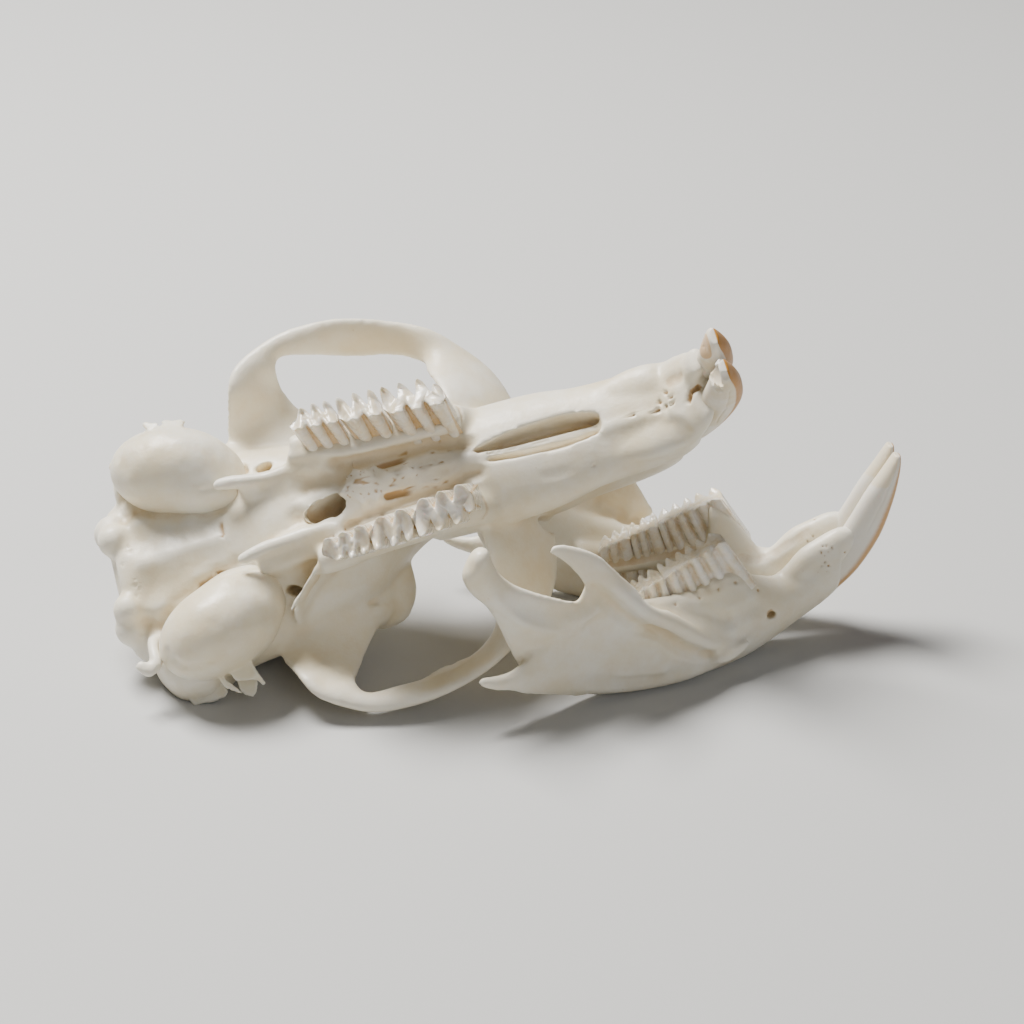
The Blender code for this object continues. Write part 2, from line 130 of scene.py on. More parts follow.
def ball(shape, centre, radii, turn, side=1):
    place = Matrix.Diagonal((1, side, 1, 1)) @ Matrix.Translation(centre)
    place = place @ Matrix.Rotation(math.radians(turn), 4, "Z") @ Matrix.Diagonal((*radii, 1))
    bmesh.ops.create_icosphere(shape, subdivisions=fineness["ballCuts"], radius=1, matrix=place)


def plate(shape, outline, rise, side=1):
    # flat outline drawn out along rise
    flip = Matrix.Diagonal((1, side, 1))
    face = shape.faces.new([shape.verts.new(flip @ Vector(point)) for point in outline])
    face.normal_update()
    cut = bmesh.ops.triangulate(shape, faces=[face])
    grown = bmesh.ops.extrude_face_region(shape, geom=cut["faces"])
    top = [item for item in grown["geom"] if isinstance(item, bmesh.types.BMVert)]
    bmesh.ops.translate(shape, verts=top, vec=flip @ Vector(rise))


def levelPlate(shape, outline, low, rise):
    # outline of (x, y) at one height
    plate(shape, [(x, y, low) for x, y in outline], (0, 0, rise))


# Objects
def meshObject(name, shape):
    bmesh.ops.recalc_face_normals(shape, faces=shape.faces)
    mesh = bpy.data.meshes.new(name)
    shape.to_mesh(mesh)
    shape.free()
    made = bpy.data.objects.new(name, mesh)
    bpy.context.scene.collection.objects.link(made)
    return made


def drawn(name, draw, *values):
    shape = bmesh.new()
    draw(shape, *values)
    return meshObject(name, shape)


def applyModifiers(made):
    bpy.context.view_layer.update()
    graph = bpy.context.evaluated_depsgraph_get()
    mesh = bpy.data.meshes.new_from_object(made.evaluated_get(graph))
    made.modifiers.clear()
    made.data = mesh


def fuse(made, grain, smoothing):
    # one even skin over overlapping bodies
    skin = made.modifiers.new("skin", "REMESH")
    skin.mode = "VOXEL"
    skin.voxel_size = grain
    soften = made.modifiers.new("soften", "SMOOTH")
    soften.factor = 0.5
    soften.iterations = smoothing
    applyModifiers(made)


def combine(made, others, operation):
    group = bpy.data.collections.new("group")
    bpy.context.scene.collection.children.link(group)
    for other in others:
        group.objects.link(other)
    change = made.modifiers.new("combine", "BOOLEAN")
    change.operation = operation
    change.operand_type = "COLLECTION"
    change.collection = group
    change.solver = "MANIFOLD"
    applyModifiers(made)
    for other in others:
        bpy.data.objects.remove(other)
    bpy.data.collections.remove(group)


def joinTo(made, other):
    shape = bmesh.new()
    shape.from_mesh(made.data)
    shape.from_mesh(other.data)
    shape.to_mesh(made.data)
    shape.free()
    bpy.data.objects.remove(other)


def thinOut(made, triangles):
    shape = bmesh.new()
    shape.from_mesh(made.data)
    bmesh.ops.triangulate(shape, faces=shape.faces)
    count = len(shape.faces)
    shape.to_mesh(made.data)
    shape.free()
    if count > triangles:
        fewer = made.modifiers.new("fewer", "DECIMATE")
        fewer.ratio = triangles / count
        applyModifiers(made)


def placeOf(forward, left, spot):
    # a bone's own directions laid in the room, in metres
    turn = Matrix((forward, left, forward.cross(left))).transposed().to_4x4()
    return Matrix.Scale(0.001, 4) @ Matrix.Translation(spot) @ turn


# Carving: a skin's points are read once, pushed about, then written back
carving = {
    "pathStep": 0.5,
    # a stroke's stain is partly painted shade
    "stainAndShadeSpread": 1.6,    # how much of a stroke its stain fills
    "fullDepth": 0.22,     # a hollow or ridge this high is shaded in full
    "evenRounds": 14,
    "liftRounds": 2,
}


def openSkin(made):
    mesh = made.data
    count = len(mesh.vertices)
    points = np.empty(count * 3)
    normals = np.empty(count * 3)
    mesh.vertices.foreach_get("co", points)
    mesh.vertex_normals.foreach_get("vector", normals)
    return {"points": points.reshape(-1, 3), "normals": normals.reshape(-1, 3), "stain": np.zeros(count)}


def softStep(share):
    share = np.clip(share, 0, 1)
    return share * share * (3 - 2 * share)


def distanceTo(points, path):
    best = np.full(len(points), farAway)
    path = [np.array(spot, float) for spot in path]
    for start, end in zip(path, path[1:] or path):
        span = end - start
        share = np.clip((points - start) @ span / max(float(span @ span), 1e-9), 0, 1)
        best = np.minimum(best, np.linalg.norm(points - start - share[:, None] * span, axis=1))
    return best


def nearness(points, path, radius):
    # 1 on the path and 0 at the radius
    return softStep(1 - distanceTo(points, path) / radius)


def onSkin(skin, path):
    # the path laid on the skin, in short steps
    points = skin["points"]
    path = [np.array(spot, float) for spot in path]
    laid = []
    for start, end in zip(path, path[1:] or path):
        count = max(1, int(np.linalg.norm(end - start) / carving["pathStep"]))
        laid += [start + (end - start) * i / count for i in range(count)]
    laid.append(path[-1])
    return [points[np.argmin(((points - spot) ** 2).sum(axis=1))] for spot in laid]


def stroke(skin, path, radius, depth, stain=0, side=1):
    path = onSkin(skin, [(x, y * side, z) for x, y, z in path])
    share = nearness(skin["points"], path, radius)
    skin["points"] = skin["points"] - skin["normals"] * (depth * share)[:, None]
    # the stain is partly real colour and partly painted shade in the pit or groove pressed in
    if stain:
        skin["stain"] = np.maximum(skin["stain"], stain * softStep(share * carving["stainAndShadeSpread"]))


def strokes(skin, table, side=1):
    # each is path, radius, depth, which is below zero to raise the bone, and a stain, partly painted shade,
    # if it has one
    for path, *values in table:
        stroke(skin, path, *values, side=side)


def pick(value):
    return dice.uniform(*value) if isinstance(value, tuple) else value


def scatter(skin, count, places, radius, depth, stain=0, side=1):
    # strokes at random; a pair gives the least and the most, and a plain number stays
    for _ in range(count):
        spot = [pick(value) for value in places]
        stroke(skin, (spot,), pick(radius), pick(depth), pick(stain), side)


def neighbourMean(made, values, rounds):
    mesh = made.data
    ends = np.empty(len(mesh.edges) * 2, dtype=np.int64)
    mesh.edges.foreach_get("vertices", ends)
    one, two = ends[0::2], ends[1::2]
    count = len(mesh.vertices)
    share = np.bincount(one, minlength=count) + np.bincount(two, minlength=count)
    columns = values.reshape(count, -1)
    for _ in range(rounds):
        columns = np.stack([
            (np.bincount(one, column[two], count) + np.bincount(two, column[one], count)) / share
            for column in columns.T
        ], axis=1)
    return columns.reshape(values.shape)


def closeSkin(made, skin, rounds=carving["evenRounds"]):
    # a hollow is where the smoothed skin lies outside the true one; hollows get painted shade and ridges a
    # painted highlight
    points = skin["points"]
    made.data.vertices.foreach_set("co", points.ravel())
    made.data.update()
    even = neighbourMean(made, points, rounds)
    lift = neighbourMean(made, ((even - points) * skin["normals"]).sum(axis=1), carving["liftRounds"])
    skin["hollow"] = np.clip(lift / carving["fullDepth"], 0, 1)
    skin["ridge"] = np.clip(-lift / carving["fullDepth"], 0, 1)
    for name in ("stain", "hollow", "ridge", "enamel", "facet"):
        if name in skin:
            kept = made.data.attributes.new(name, "FLOAT", "POINT")
            kept.data.foreach_set("value", skin[name].astype(np.float32))


def finish(made, name, surface, place, nodes):
    made.name = name
    made.data.name = name
    made.data.transform(place)
    # nothing reaches below what the bones lie on
    points = np.empty(len(made.data.vertices) * 3)
    made.data.vertices.foreach_get("co", points)
    points[2::3] = np.maximum(points[2::3], 0)
    made.data.vertices.foreach_set("co", points)
    made.data.update()
    made.data.materials.clear()
    made.data.materials.append(surface)
    made.data.polygons.foreach_set("use_smooth", [True] * len(made.data.polygons))
    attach(made, "root")
    if nodes:
        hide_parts(*nodes)


# Finishes: noises are (scale, detail, roughness); marks are what the carving left on the skin;
# mixes are (name, operation, mark, noise, low, high, start, end); layers lie over the base colour,
# (what it follows, low, high, most, colour); bumps are (noise, strength, distance)
def addNode(tree, kind, values=None, **settings):
    node = tree.nodes.new(kind)
    for key, value in settings.items():
        setattr(node, key, value)
    for key, value in (values or {}).items():
        node.inputs[key].default_value = value
    return node


def noise(tree, scale, detail, roughness):
    node = addNode(tree, "ShaderNodeTexNoise", {"Scale": scale, "Detail": detail, "Roughness": roughness})
    tree.links.new(addNode(tree, "ShaderNodeTexCoord").outputs["Object"], node.inputs["Vector"])
    return node.outputs["Fac"]


def ramp(tree, source, low, high, start, end):
    values = {"From Min": low, "From Max": high, "To Min": start, "To Max": end}
    node = addNode(tree, "ShaderNodeMapRange", values, interpolation_type="SMOOTHSTEP")
    tree.links.new(source, node.inputs["Value"])
    return node.outputs["Result"]


def maths(tree, operation, first, second):
    node = addNode(tree, "ShaderNodeMath", operation=operation)
    tree.links.new(first, node.inputs[0])
    tree.links.new(second, node.inputs[1])
    return node.outputs[0]


def blendColour(tree, share, under, over):
    node = addNode(tree, "ShaderNodeMix", data_type="RGBA")
    for socket, value in ((node.inputs[0], share), (node.inputs[6], under), (node.inputs[7], over)):
        if isinstance(value, tuple):
            socket.default_value = (*value, 1)
        else:
            tree.links.new(value, socket)
    return node.outputs[2]


def makeSurface(name, look):
    surface = bpy.data.materials.new(name)
    surface.use_nodes = True
    tree = surface.node_tree
    shader = tree.nodes["Principled BSDF"]
    for key, value in {
        "Subsurface Weight": look["glow"],
        "Subsurface Radius": look["glowTint"],
        "Subsurface Scale": look["glowDepth"],
        "IOR": look["ior"],
        "Specular IOR Level": look["specular"],
        "Coat Weight": look["coat"],
        "Coat Roughness": look["coatRough"],
    }.items():
        shader.inputs[key].default_value = value
    sources = {key: noise(tree, *values) for key, values in look["noises"].items()}
    for key in look["marks"]:
        sources[key] = addNode(tree, "ShaderNodeAttribute", attribute_name=key).outputs["Fac"]
    for key, operation, mark, grain, *ends in look["mixes"]:
        sources[key] = maths(tree, operation, sources[mark], ramp(tree, sources[grain], *ends))
    colour = look["base"]
    for key, low, high, most, over in look["layers"]:
        colour = blendColour(tree, ramp(tree, sources[key], low, high, 0, most), colour, look[over])
    tree.links.new(colour, shader.inputs["Base Color"])
    tree.links.new(ramp(tree, sources["gloss"], 0.3, 0.7, *look["rough"]), shader.inputs["Roughness"])
    normal = None
    for key, strength, distance in look["bumps"]:
        node = addNode(tree, "ShaderNodeBump", {"Strength": strength, "Distance": distance})
        tree.links.new(sources[key], node.inputs["Height"])
        if normal:
            tree.links.new(normal, node.inputs["Normal"])
        normal = node.outputs["Normal"]
    tree.links.new(normal, shader.inputs["Normal"])
    return surface


plainLook = {"glowTint": (1, 0.72, 0.45), "ior": 1.5, "specular": 0.5, "coatRough": 0.25}
boneLook = dict(
    plainLook,
    base=(0.76, 0.67, 0.48),
    chalk=(0.82, 0.78, 0.67),
    straw=(0.64, 0.48, 0.25),
    tan=(0.46, 0.28, 0.11),
    brown=(0.14, 0.07, 0.025),
    glow=0.06,
    glowDepth=0.0012,
    coat=0.08,
    rough=(0.36, 0.52),
    noises={
        "patches": (130, 5, 0.6),
        "clouds": (420, 6, 0.65),
        "specks": (1500, 3, 0.5),
        "gloss": (900, 4, 0.55),
        "swell": (520, 4, 0.5),
        "grain": (2600, 6, 0.6),
    },
    marks=("hollow", "ridge", "stain"),
    # the stain with its painted shade, roughened by the clouds
    mixes=(("dirtAndShade", "ADD", "stain", "clouds", 0.4, 0.75, 0, 0.084),),
    layers=(
        ("patches", 0.35, 0.7, 1, "chalk"),
        ("clouds", 0.4, 0.75, 0.245, "straw"),
        # painted shade in the hollows and a painted highlight on the ridges
        ("hollow", 0.15, 0.95, 0.5, "straw"),
        ("ridge", 0.1, 0.8, 0.6, "chalk"),
        # stains and painted shade in pits, grooves and openings, tan then brown
        ("dirtAndShade", 0.15, 0.6, 0.9, "tan"),
        ("dirtAndShade", 0.6, 1.05, 0.9, "brown"),
        ("specks", 0.73, 0.8, 0.35, "tan"),
    ),
    bumps=(("swell", 0.25, 0.0003), ("grain", 0.22, 0.00012)),
)
thinBoneLook = dict(boneLook, glow=0.2, rough=(0.3, 0.46))
molarLook = dict(
    plainLook,
    base=(0.80, 0.76, 0.68),
    cream=(0.74, 0.64, 0.46),
    valley=(0.56, 0.35, 0.12),
    speck=(0.20, 0.10, 0.04),
    glow=0.15,
    glowDepth=0.0010,
    coat=0.35,
    rough=(0.2, 0.36),
    noises={
        "streaks": (700, 4, 0.6),
        "grit": (2400, 3, 0.55),
        "gloss": (1200, 4, 0.55),
        "grain": (1800, 4, 0.55),
    },
    marks=("facet", "stain"),
    mixes=(
        ("dirtAndShade", "ADD", "stain", "streaks", 0.35, 0.7, 0, 0.15),
        ("specks", "MULTIPLY", "stain", "grit", 0.6, 0.7, 0, 1),
    ),
    layers=(
        ("streaks", 0.35, 0.7, 1, "cream"),
        ("facet", 0.3, 0.95, 0.7, "cream"),
        ("dirtAndShade", 0.3, 1, 0.8, "valley"),
        ("specks", 0.4, 0.9, 0.7, "speck"),
    ),
    bumps=(("grain", 0.15, 0.00015),),
)
upperIncisorLook = dict(
    molarLook,
    base=(0.72, 0.62, 0.44),
    pearl=(0.80, 0.76, 0.68),
    orange=(0.46, 0.21, 0.035),
    peach=(0.62, 0.43, 0.25),
    coat=0.02,
    specular=0.22,
    rough=(0.34, 0.46),
    noises={"streaks": (260, 5, 0.6), "gloss": (1200, 4, 0.55), "grain": (900, 4, 0.55)},
    marks=("enamel", "facet", "stain"),
    mixes=(("front", "MULTIPLY", "enamel", "streaks", 0.1, 0.6, 0.85, 1.05),),
    layers=(
        ("streaks", 0.35, 0.7, 1, "pearl"),
        ("front", 0.2, 0.85, 1, "orange"),
        ("facet", 0.3, 0.8, 1, "peach"),
        ("stain", 0.2, 1, 1, "speck"),
    ),
    bumps=(("grain", 0.15, 0.0002),),
)
lowerIncisorLook = dict(
    upperIncisorLook, coat=0.1, orange=(0.55, 0.30, 0.11), peach=(0.76, 0.68, 0.52), base=(0.78, 0.73, 0.62)
)

# Cranium: X forward from the condyles, Y left, Z up from the palate
craniumSkin = {"grain": 0.22, "firstGrain": 0.3, "smoothing": 7, "triangles": 190000}

skullBody = {
    "braincase": (
        (0.9, 0, 11, 5, 3.2), (2.2, 0, 10.6, 8.6, 4.6), (5.5, 0, 10.4, 10.4, 6),
        (11, 0, 10.6, 10.9, 7), (17, 0, 10.6, 10.7, 7.2), (22, 0, 10.4, 9.6, 7),
        (26, 0, 10.2, 7.9, 6.6), (29.5, 0, 9.8, 5.2, 6), (33, 0, 9.6, 3.2, 5.2), (37, 0, 9.4, 3, 5),
        (41, 0, 9.4, 3.8, 5), (45, 0, 9.4, 4.6, 4.7), (49, 0, 9, 4.1, 4.3), (54, 0, 8.4, 3.9, 4.2),
        (57.4, 0, 8, 3.5, 3.9), (59.2, 0, 7.8, 2.9, 3.4),
    ),
    "snout": (
        (33, 0, 4.2, 6, 3.6), (38, 0, 4, 6.2, 3.9), (42, 0, 3.8, 6.2, 3.8), (46, 0, 3.4, 6, 3.3),
        (50, 0, 3, 5.3, 3), (54, 0, 2.6, 5.1, 3), (57.4, 0, 2.2, 5, 3),
        (59.2, 0, 1.9, 4.6, 3), (60.6, 0, 1.9, 3.8, 2.6),
    ),
    "collar": (
        ((58.4, 0, 1.6), (2.6, 0, 0), (0, 4.7, 0)), ((59.8, 0, -0.6), (2.3, 0, 0), (0, 4.4, 0)),
        ((60.9, 0, -2.4), (1.5, 0, 0), (0, 3.9, 0)), ((61.3, 0, -3.2), (0.9, 0, 0), (0, 3.2, 0)),
    ),
    "base": (
        (1.6, 0, 7.2, 4.6, 1.8), (5, 0, 6.6, 4.6, 2.2), (10, 0, 6.4, 3.6, 2.2), (14, 0, 6.2, 5.2, 2.9),
        (18, 0, 5.5, 6.2, 3.8), (22, 0, 4.5, 5.9, 3.6), (26, 0, 3.4, 5.9, 3.4), (31, 0, 3.2, 5.8, 3.3),
        (36, 0, 3.3, 5.9, 3.3), (39, 0, 3.6, 5.8, 3.2),
    ),
    # balls, each (centre, radii)
    "condyle": (
        ((1.9, 3.7, 6.6), (1.7, 1.7, 2)), ((1.7, 5.2, 8.4), (2, 1.8, 2.4)),
        ((2.5, 6.8, 9.9), (1.6, 1.5, 1.7)),
    ),
    "condyleTurn": 20,
    "rearCorner": (
        (2.8, 8.6, 9.8, 2, 3), (4.6, 10.8, 9.3, 2.6, 3.6), (7.6, 11.6, 9.1, 2.6, 3.7),
        (11, 10.4, 8.8, 1.8, 3), (14.6, 9.7, 9.2, 1.8, 2.4), (18.5, 9.2, 10.4, 1.4, 1.8),
    ),
    "hook": (
        (4.6, 7.4, 8, 1.3), (3.5, 7.6, 6.4, 0.75), (3.4, 8.9, 5.2, 0.6), (3.5, 10.4, 4.8, 0.7),
        (2.6, 11, 4.6, 0.65), (1.9, 10.2, 4.2, 0.6), (1.7, 10, 4, 0.3),
    ),
    "socketCrest": (
        ((25.5, 3, 12), (4.2, 0, 0), (0, 0, 2.6)), ((26.3, 6.4, 12.7), (3.6, -0.6, 0), (0, 0, 2)),
        ((26.8, 8.6, 13), (2.8, -0.7, 0), (0, 0, 1.4)),
        ((26.6, 10, 13.1), (1.9, -0.3, 0), (0, 0, 0.9)),
        ((26.4, 10.5, 13.1), (1, -0.1, 0), (0, 0, 0.5)),
    ),
    "socketWeb": (
        ((22.5, 5, 11.2), (4.8, 0, 0), (0, 0, 2.4)), ((23.4, 8.2, 11.6), (4, 0, 0), (0, 0, 1.7)),
        ((23.8, 10, 11.6), (2.8, 0, 0), (0, 0, 1.2)), ((23.4, 11, 11.2), (1.2, 0, 0), (0, 0, 0.7)),
    ),
    "outerRidge": (
        (23.2, 5.6, 0.8, 0.5), (21.1, 6.2, 1.8, 0.42), (20.1, 6.9, 2, 0.34), (18.3, 8.6, 2.2, 0.3),
        (17.5, 9.5, 2.5, 0.24), (17.2, 9.8, 2.7, 0.14),
    ),
    "outerWall": (
        ((22.5, 5.6, 3.6), (0, 0.4, 0), (0, 0, 2.6)), ((20.1, 7.1, 5), (0.15, 0.3, 0), (0, 0, 2.8)),
        ((18.3, 8.8, 5.7), (0.15, 0.3, 0), (0, 0, 3.2)), ((17.5, 9.6, 6.6), (0.15, 0.3, 0), (0, 0, 3.2)),
    ),
    "innerRidge": {
        1: ((24.4, 3.2, 0.6, 0.8), (22, 2.75, 1.1, 0.8), (18.5, 2.95, 1.2, 0.75), (16.3, 3.1, 1.2, 0.72),
            (14.2, 3.5, 1.3, 0.6), (13.7, 3.62, 1.35, 0.35)),
        -1: ((24.4, 3.3, 0.6, 0.8), (20.7, 4.05, 1.2, 0.75), (18.4, 3.95, 1.3, 0.72), (14.9, 4.5, 1.3, 0.72),
             (13.5, 4.6, 1.35, 0.6), (13.1, 4.6, 1.4, 0.35)),
    },
    "innerWall": (
        ((15.4, 4.1, 3.6), (0, 0.8, 0), (0, 0, 1.5)), ((17.2, 3.6, 3.3), (0, 1.7, 0), (0, 0, 1.75)),
        ((20, 3.2, 3), (0, 2.1, 0), (0, 0, 1.9)), ((23.4, 3.1, 2.6), (0, 2.1, 0), (0, 0, 2.1)),
    ),
    "toothShelf": (
        (21.4, 6, 1, 1.25, 1.6), (23.6, 5.8, 0.7, 1.55, 1.65), (27, 5.2, 0.6, 1.75, 1.7),
        (31, 4.9, 0.55, 1.9, 1.75), (35.6, 4.7, 0.6, 1.9, 1.8), (38, 4.6, 1.6, 1.7, 2),
        (39.4, 4.6, 3, 1.5, 1.8),
    ),
    # bone margin along the inner side of the right upper row
    "rowMargin": (
        (20.9, 5, 0.6, 0.5, 0.9), (23.2, 4.6, 0.1, 0.65, 1), (27.3, 3.7, -0.25, 0.7, 1),
        (29.7, 3.5, -0.35, 0.7, 1), (31.7, 3.6, -0.35, 0.7, 1), (34.6, 3.5, -0.4, 0.7, 1),
        (36.7, 3.55, -0.4, 0.7, 1), (38.2, 4.1, -0.1, 0.65, 1),
    ),
    "cheekArch": (
        ((41, 3.5, 7), (3.6, 0, 3.6), (-0.7, 0, 1)),
        ((40.8, 8, 7), (3.5, 0, 3.7), (-0.7, 0, 0.8)),
        ((40, 11.2, 7.3), (3.1, 0.8, 2.7), (-0.5, 0, 0.75)),
        ((38.4, 13.9, 7.6), (2.1, 1.4, 1.1), (-0.35, 0, 0.8)),
        ((37, 16, 7.9), (0.9, 1.4, -0.9), (0.1, 0.2, 0.75)),
        ((33.9, 17.9, 8.2), (0.2, 1.45, -1.4), (0, 0.35, 0.6)),
        ((29.5, 19.1, 7.9), (0, 1.5, -1.9), (0, 0.5, 0.55)),
        ((25.5, 19.5, 6.9), (-0.1, 1.2, -1.3), (0, 0.65, 0.75)),
        ((22.2, 19.3, 6.2), (-0.3, 0.85, -0.8), (-0.2, 0.5, 0.7)),
        ((19.8, 17.5, 5.8), (-2, 0.4, -1.1), (-0.3, 0.3, 0.7)),
        ((19.2, 15.2, 7.4), (-2.8, 0, -2.6), (-0.7, 0, 0.7)),
        ((19.5, 12.4, 9.4), (-4.4, 0, -1.2), (-0.2, 0, 1)),
        ((20.8, 9, 10.2), (-5.8, 0, -0.6), (-0.2, 0, 1.8)),
    ),
    # joins the palate to the inner wall behind it
    "strut": (((24.8, 2.7, 1.9), (0, 0.5, 0), (0, 0, 1.9)), ((27.5, 2.8, 1.6), (0, 0.7, 0), (0, 0, 1.5))),
    "strutSteps": 2,
    # the root of each front tooth swells the snout, further down on the right
    "toothRoot": (
        ((51.8, 2.6, 1.2), (0, 1.4, 0), (0, 0, 0.8)), ((54.6, 2.7, 0.9), (0, 2.1, 0), (0, 0, 1.2)),
        ((57.6, 2.6, 0.5), (0, 2.2, 0), (0, 0, 1.4)), ((59.8, 2.3, -0.6), (0.5, 1.9, 0.5), (0.8, 0, -1.2)),
        ((60.9, 1.9, -2.8), (0.3, 1.8, 0.2), (1.3, 0, -0.6)),
        ((61.35, 1.7, -5.2), (0.1, 1.35, 0.1), (0.85, 0, -0.2)),
    ),
    "toothRootReach": {1: 4, -1: 6},
}


def drawSkull(shape):
    body = skullBody
    # the hook, the outer ridge and the outer wall stand on the left side only
    addParts(shape, body, ("braincase", "snout", "collar", "base", "hook", "outerRidge", "outerWall"))
    addParts(shape, body, ("rowMargin",), -1)
    for side in sides:
        for centre, radii in body["condyle"]:
            ball(shape, centre, radii, body["condyleTurn"], side)
        addParts(shape, body, ("rearCorner", "socketCrest", "socketWeb"), side)
        rod(shape, body["innerRidge"][side], side)
        addParts(shape, body, ("innerWall", "toothShelf", "cheekArch"), side)
        loft(shape, body["strut"], side, body["strutSteps"])
        loft(shape, body["toothRoot"][:body["toothRootReach"][side]], side)


# a thin torn edge inside the left cheek arch
archFlange = {
    "outline": (
        (27, 18.15), (28.8, 17.7), (29.2, 17.5), (30.7, 17.15), (31, 17.3), (32, 17.05), (33.5, 16.9),
        (33.75, 16.7), (34.5, 16.7), (35.4, 16.9), (34.5, 17.9), (31.6, 18.7), (28.5, 18.7),
    ),
    "low": 8.3,
    "thick": 0.45,
}
# the palate's thin rear plate, torn along its edge
palatePlate = {
    "body": (
        (25.1, 0.1, 0.2, 0.3, 0.4), (25.7, -0.2, 0.2, 1.15, 0.58), (26.8, -0.2, 0.2, 1.75, 0.6),
        (28.2, 0, 0.2, 1.8, 0.6), (29.6, 0.1, 0.2, 1.4, 0.58), (31.5, 0.1, 0.25, 1, 0.52),
        (33.6, 0.1, 0.4, 0.5, 0.4),
    ),
    "tips": (
        ((26.2, -1.3), (26.8, -2.5), (27.6, -1.4)),
        ((26.3, -0.9), (25.5, -1.5), (26.2, -2), (26.8, -1.3)),
        ((25.9, -0.6), (24.8, 0.1), (25.9, 0.7)), ((26.2, 0.6), (26.9, 2), (27.8, 1.1)),
        ((27.6, 1.1), (28.3, 2.1), (29, 1.1)), ((28.2, -1.3), (29.1, -2), (29.6, -0.9)),
    ),
    "high": 0.45,
    "thick": 0.75,
    "steps": 4,
}


def drawPalatePlate(shape):
    levelLoft(shape, palatePlate["body"], 1, palatePlate["steps"])
    for tip in palatePlate["tips"]:
        levelPlate(shape, tip, palatePlate["high"], -palatePlate["thick"])


# Hollows of the skull, upright ovals
skullHollows = {
    "rear": ((-2, 0, 10.4, 3.4, 2.4), (2, 0, 10.6, 3.2, 2.3), (7, 0, 10.8, 2.2, 1.8)),
    # behind the palate, running in under its rear plate
    "throat": (
        (21.3, 0.9, 2, 0.5, 0.8), (22.6, 1, 2.2, 1.15, 1.9), (24.2, 0.9, 2.4, 1.4, 2.8),
        (25.2, 0.7, 2.7, 1.5, 2.6), (26.2, 0.6, 3.3, 1.5, 2.2), (28.4, 0.2, 3.8, 1.2, 1.5),
        (29.4, 0.1, 3.8, 0.5, 0.7),
    ),
    # the wall between the palate's two slits stands lower than its rims
    "slitWall": (
        (39.6, 0, 0, 0.2, 0.3), (42, 0, 0, 0.5, 0.9), (48, 0, 0, 0.6, 1.3),
        (50.9, 0, 0, 0.5, 1.1), (51.4, 0, 0, 0.2, 0.5),
    ),
    "nose": ((53.5, 0, 8.4, 1.2, 1.2), (57, 0, 8.2, 1.9, 1.9), (61, 0, 8.2, 2.3, 2.5)),
}
palateSlit = {
    "stations": (
        (37.9, 0.42, 0.9, 0.1, 1.6), (39.6, 0.62, 0.6, 0.32, 2.2), (43, 0.86, 0.5, 0.62, 2.7),
        (47.6, 0.95, 0.4, 0.74, 3), (50.2, 0.74, 0.5, 0.54, 2.6), (51.2, 0.60, 0.6, 0.30, 1.9),
        (51.4, 0.55, 0.6, 0.10, 1.2),
    ),
    "wide": {1: 0.8, -1: 1.2},
    "deep": {1: 0.72, -1: 0.85},
}
sideHollows = {
    # the oval hole beside the ear capsule, and the small one in front of it
    "foramen": (
        ((17.2, 7.2, 1), (0.75, 0.2, 0), (-0.1, 0.5, 0)),
        ((18, 6.8, 4.6), (0.85, 0.25, 0), (-0.1, 0.55, 0)),
        ((18.6, 6.2, 7), (0.7, 0.2, 0), (-0.1, 0.5, 0)),
    ),
    "smallForamen": (
        ((15.9, 7.4, 1.2), (0.35, 0.1, 0), (0.3, -1.5, 0)), ((16.3, 7.2, 6), (0.3, 0.1, 0), (0.3, -1.3, 0)),
    ),
    # the opening through the front root of the cheek arch
    "channel": (
        (34.5, 5.9, 9.8, 1.3, 1.7), (38, 5.7, 9.8, 0.9, 1.5), (43, 5.5, 9.6, 0.8, 1.6),
        (48, 5.9, 9.2, 1, 2.2),
    ),
}


def drawHollows(shape):
    for rows in skullHollows.values():
        levelLoft(shape, rows, 1, fineness["hollowSteps"])


def drawPalateSlit(shape, side):
    wide, deep = palateSlit["wide"][side], palateSlit["deep"][side]
    levelLoft(shape, [
        (x, y + w * (wide - 1), z - h * (1 - deep), w * wide, h * deep)
        for x, y, z, w, h in palateSlit["stations"]
    ], side, fineness["hollowSteps"])


def drawForamen(shape, side):
    loft(shape, sideHollows["foramen"], side)
    loft(shape, sideHollows["smallForamen"], side, fineness["holeSteps"])
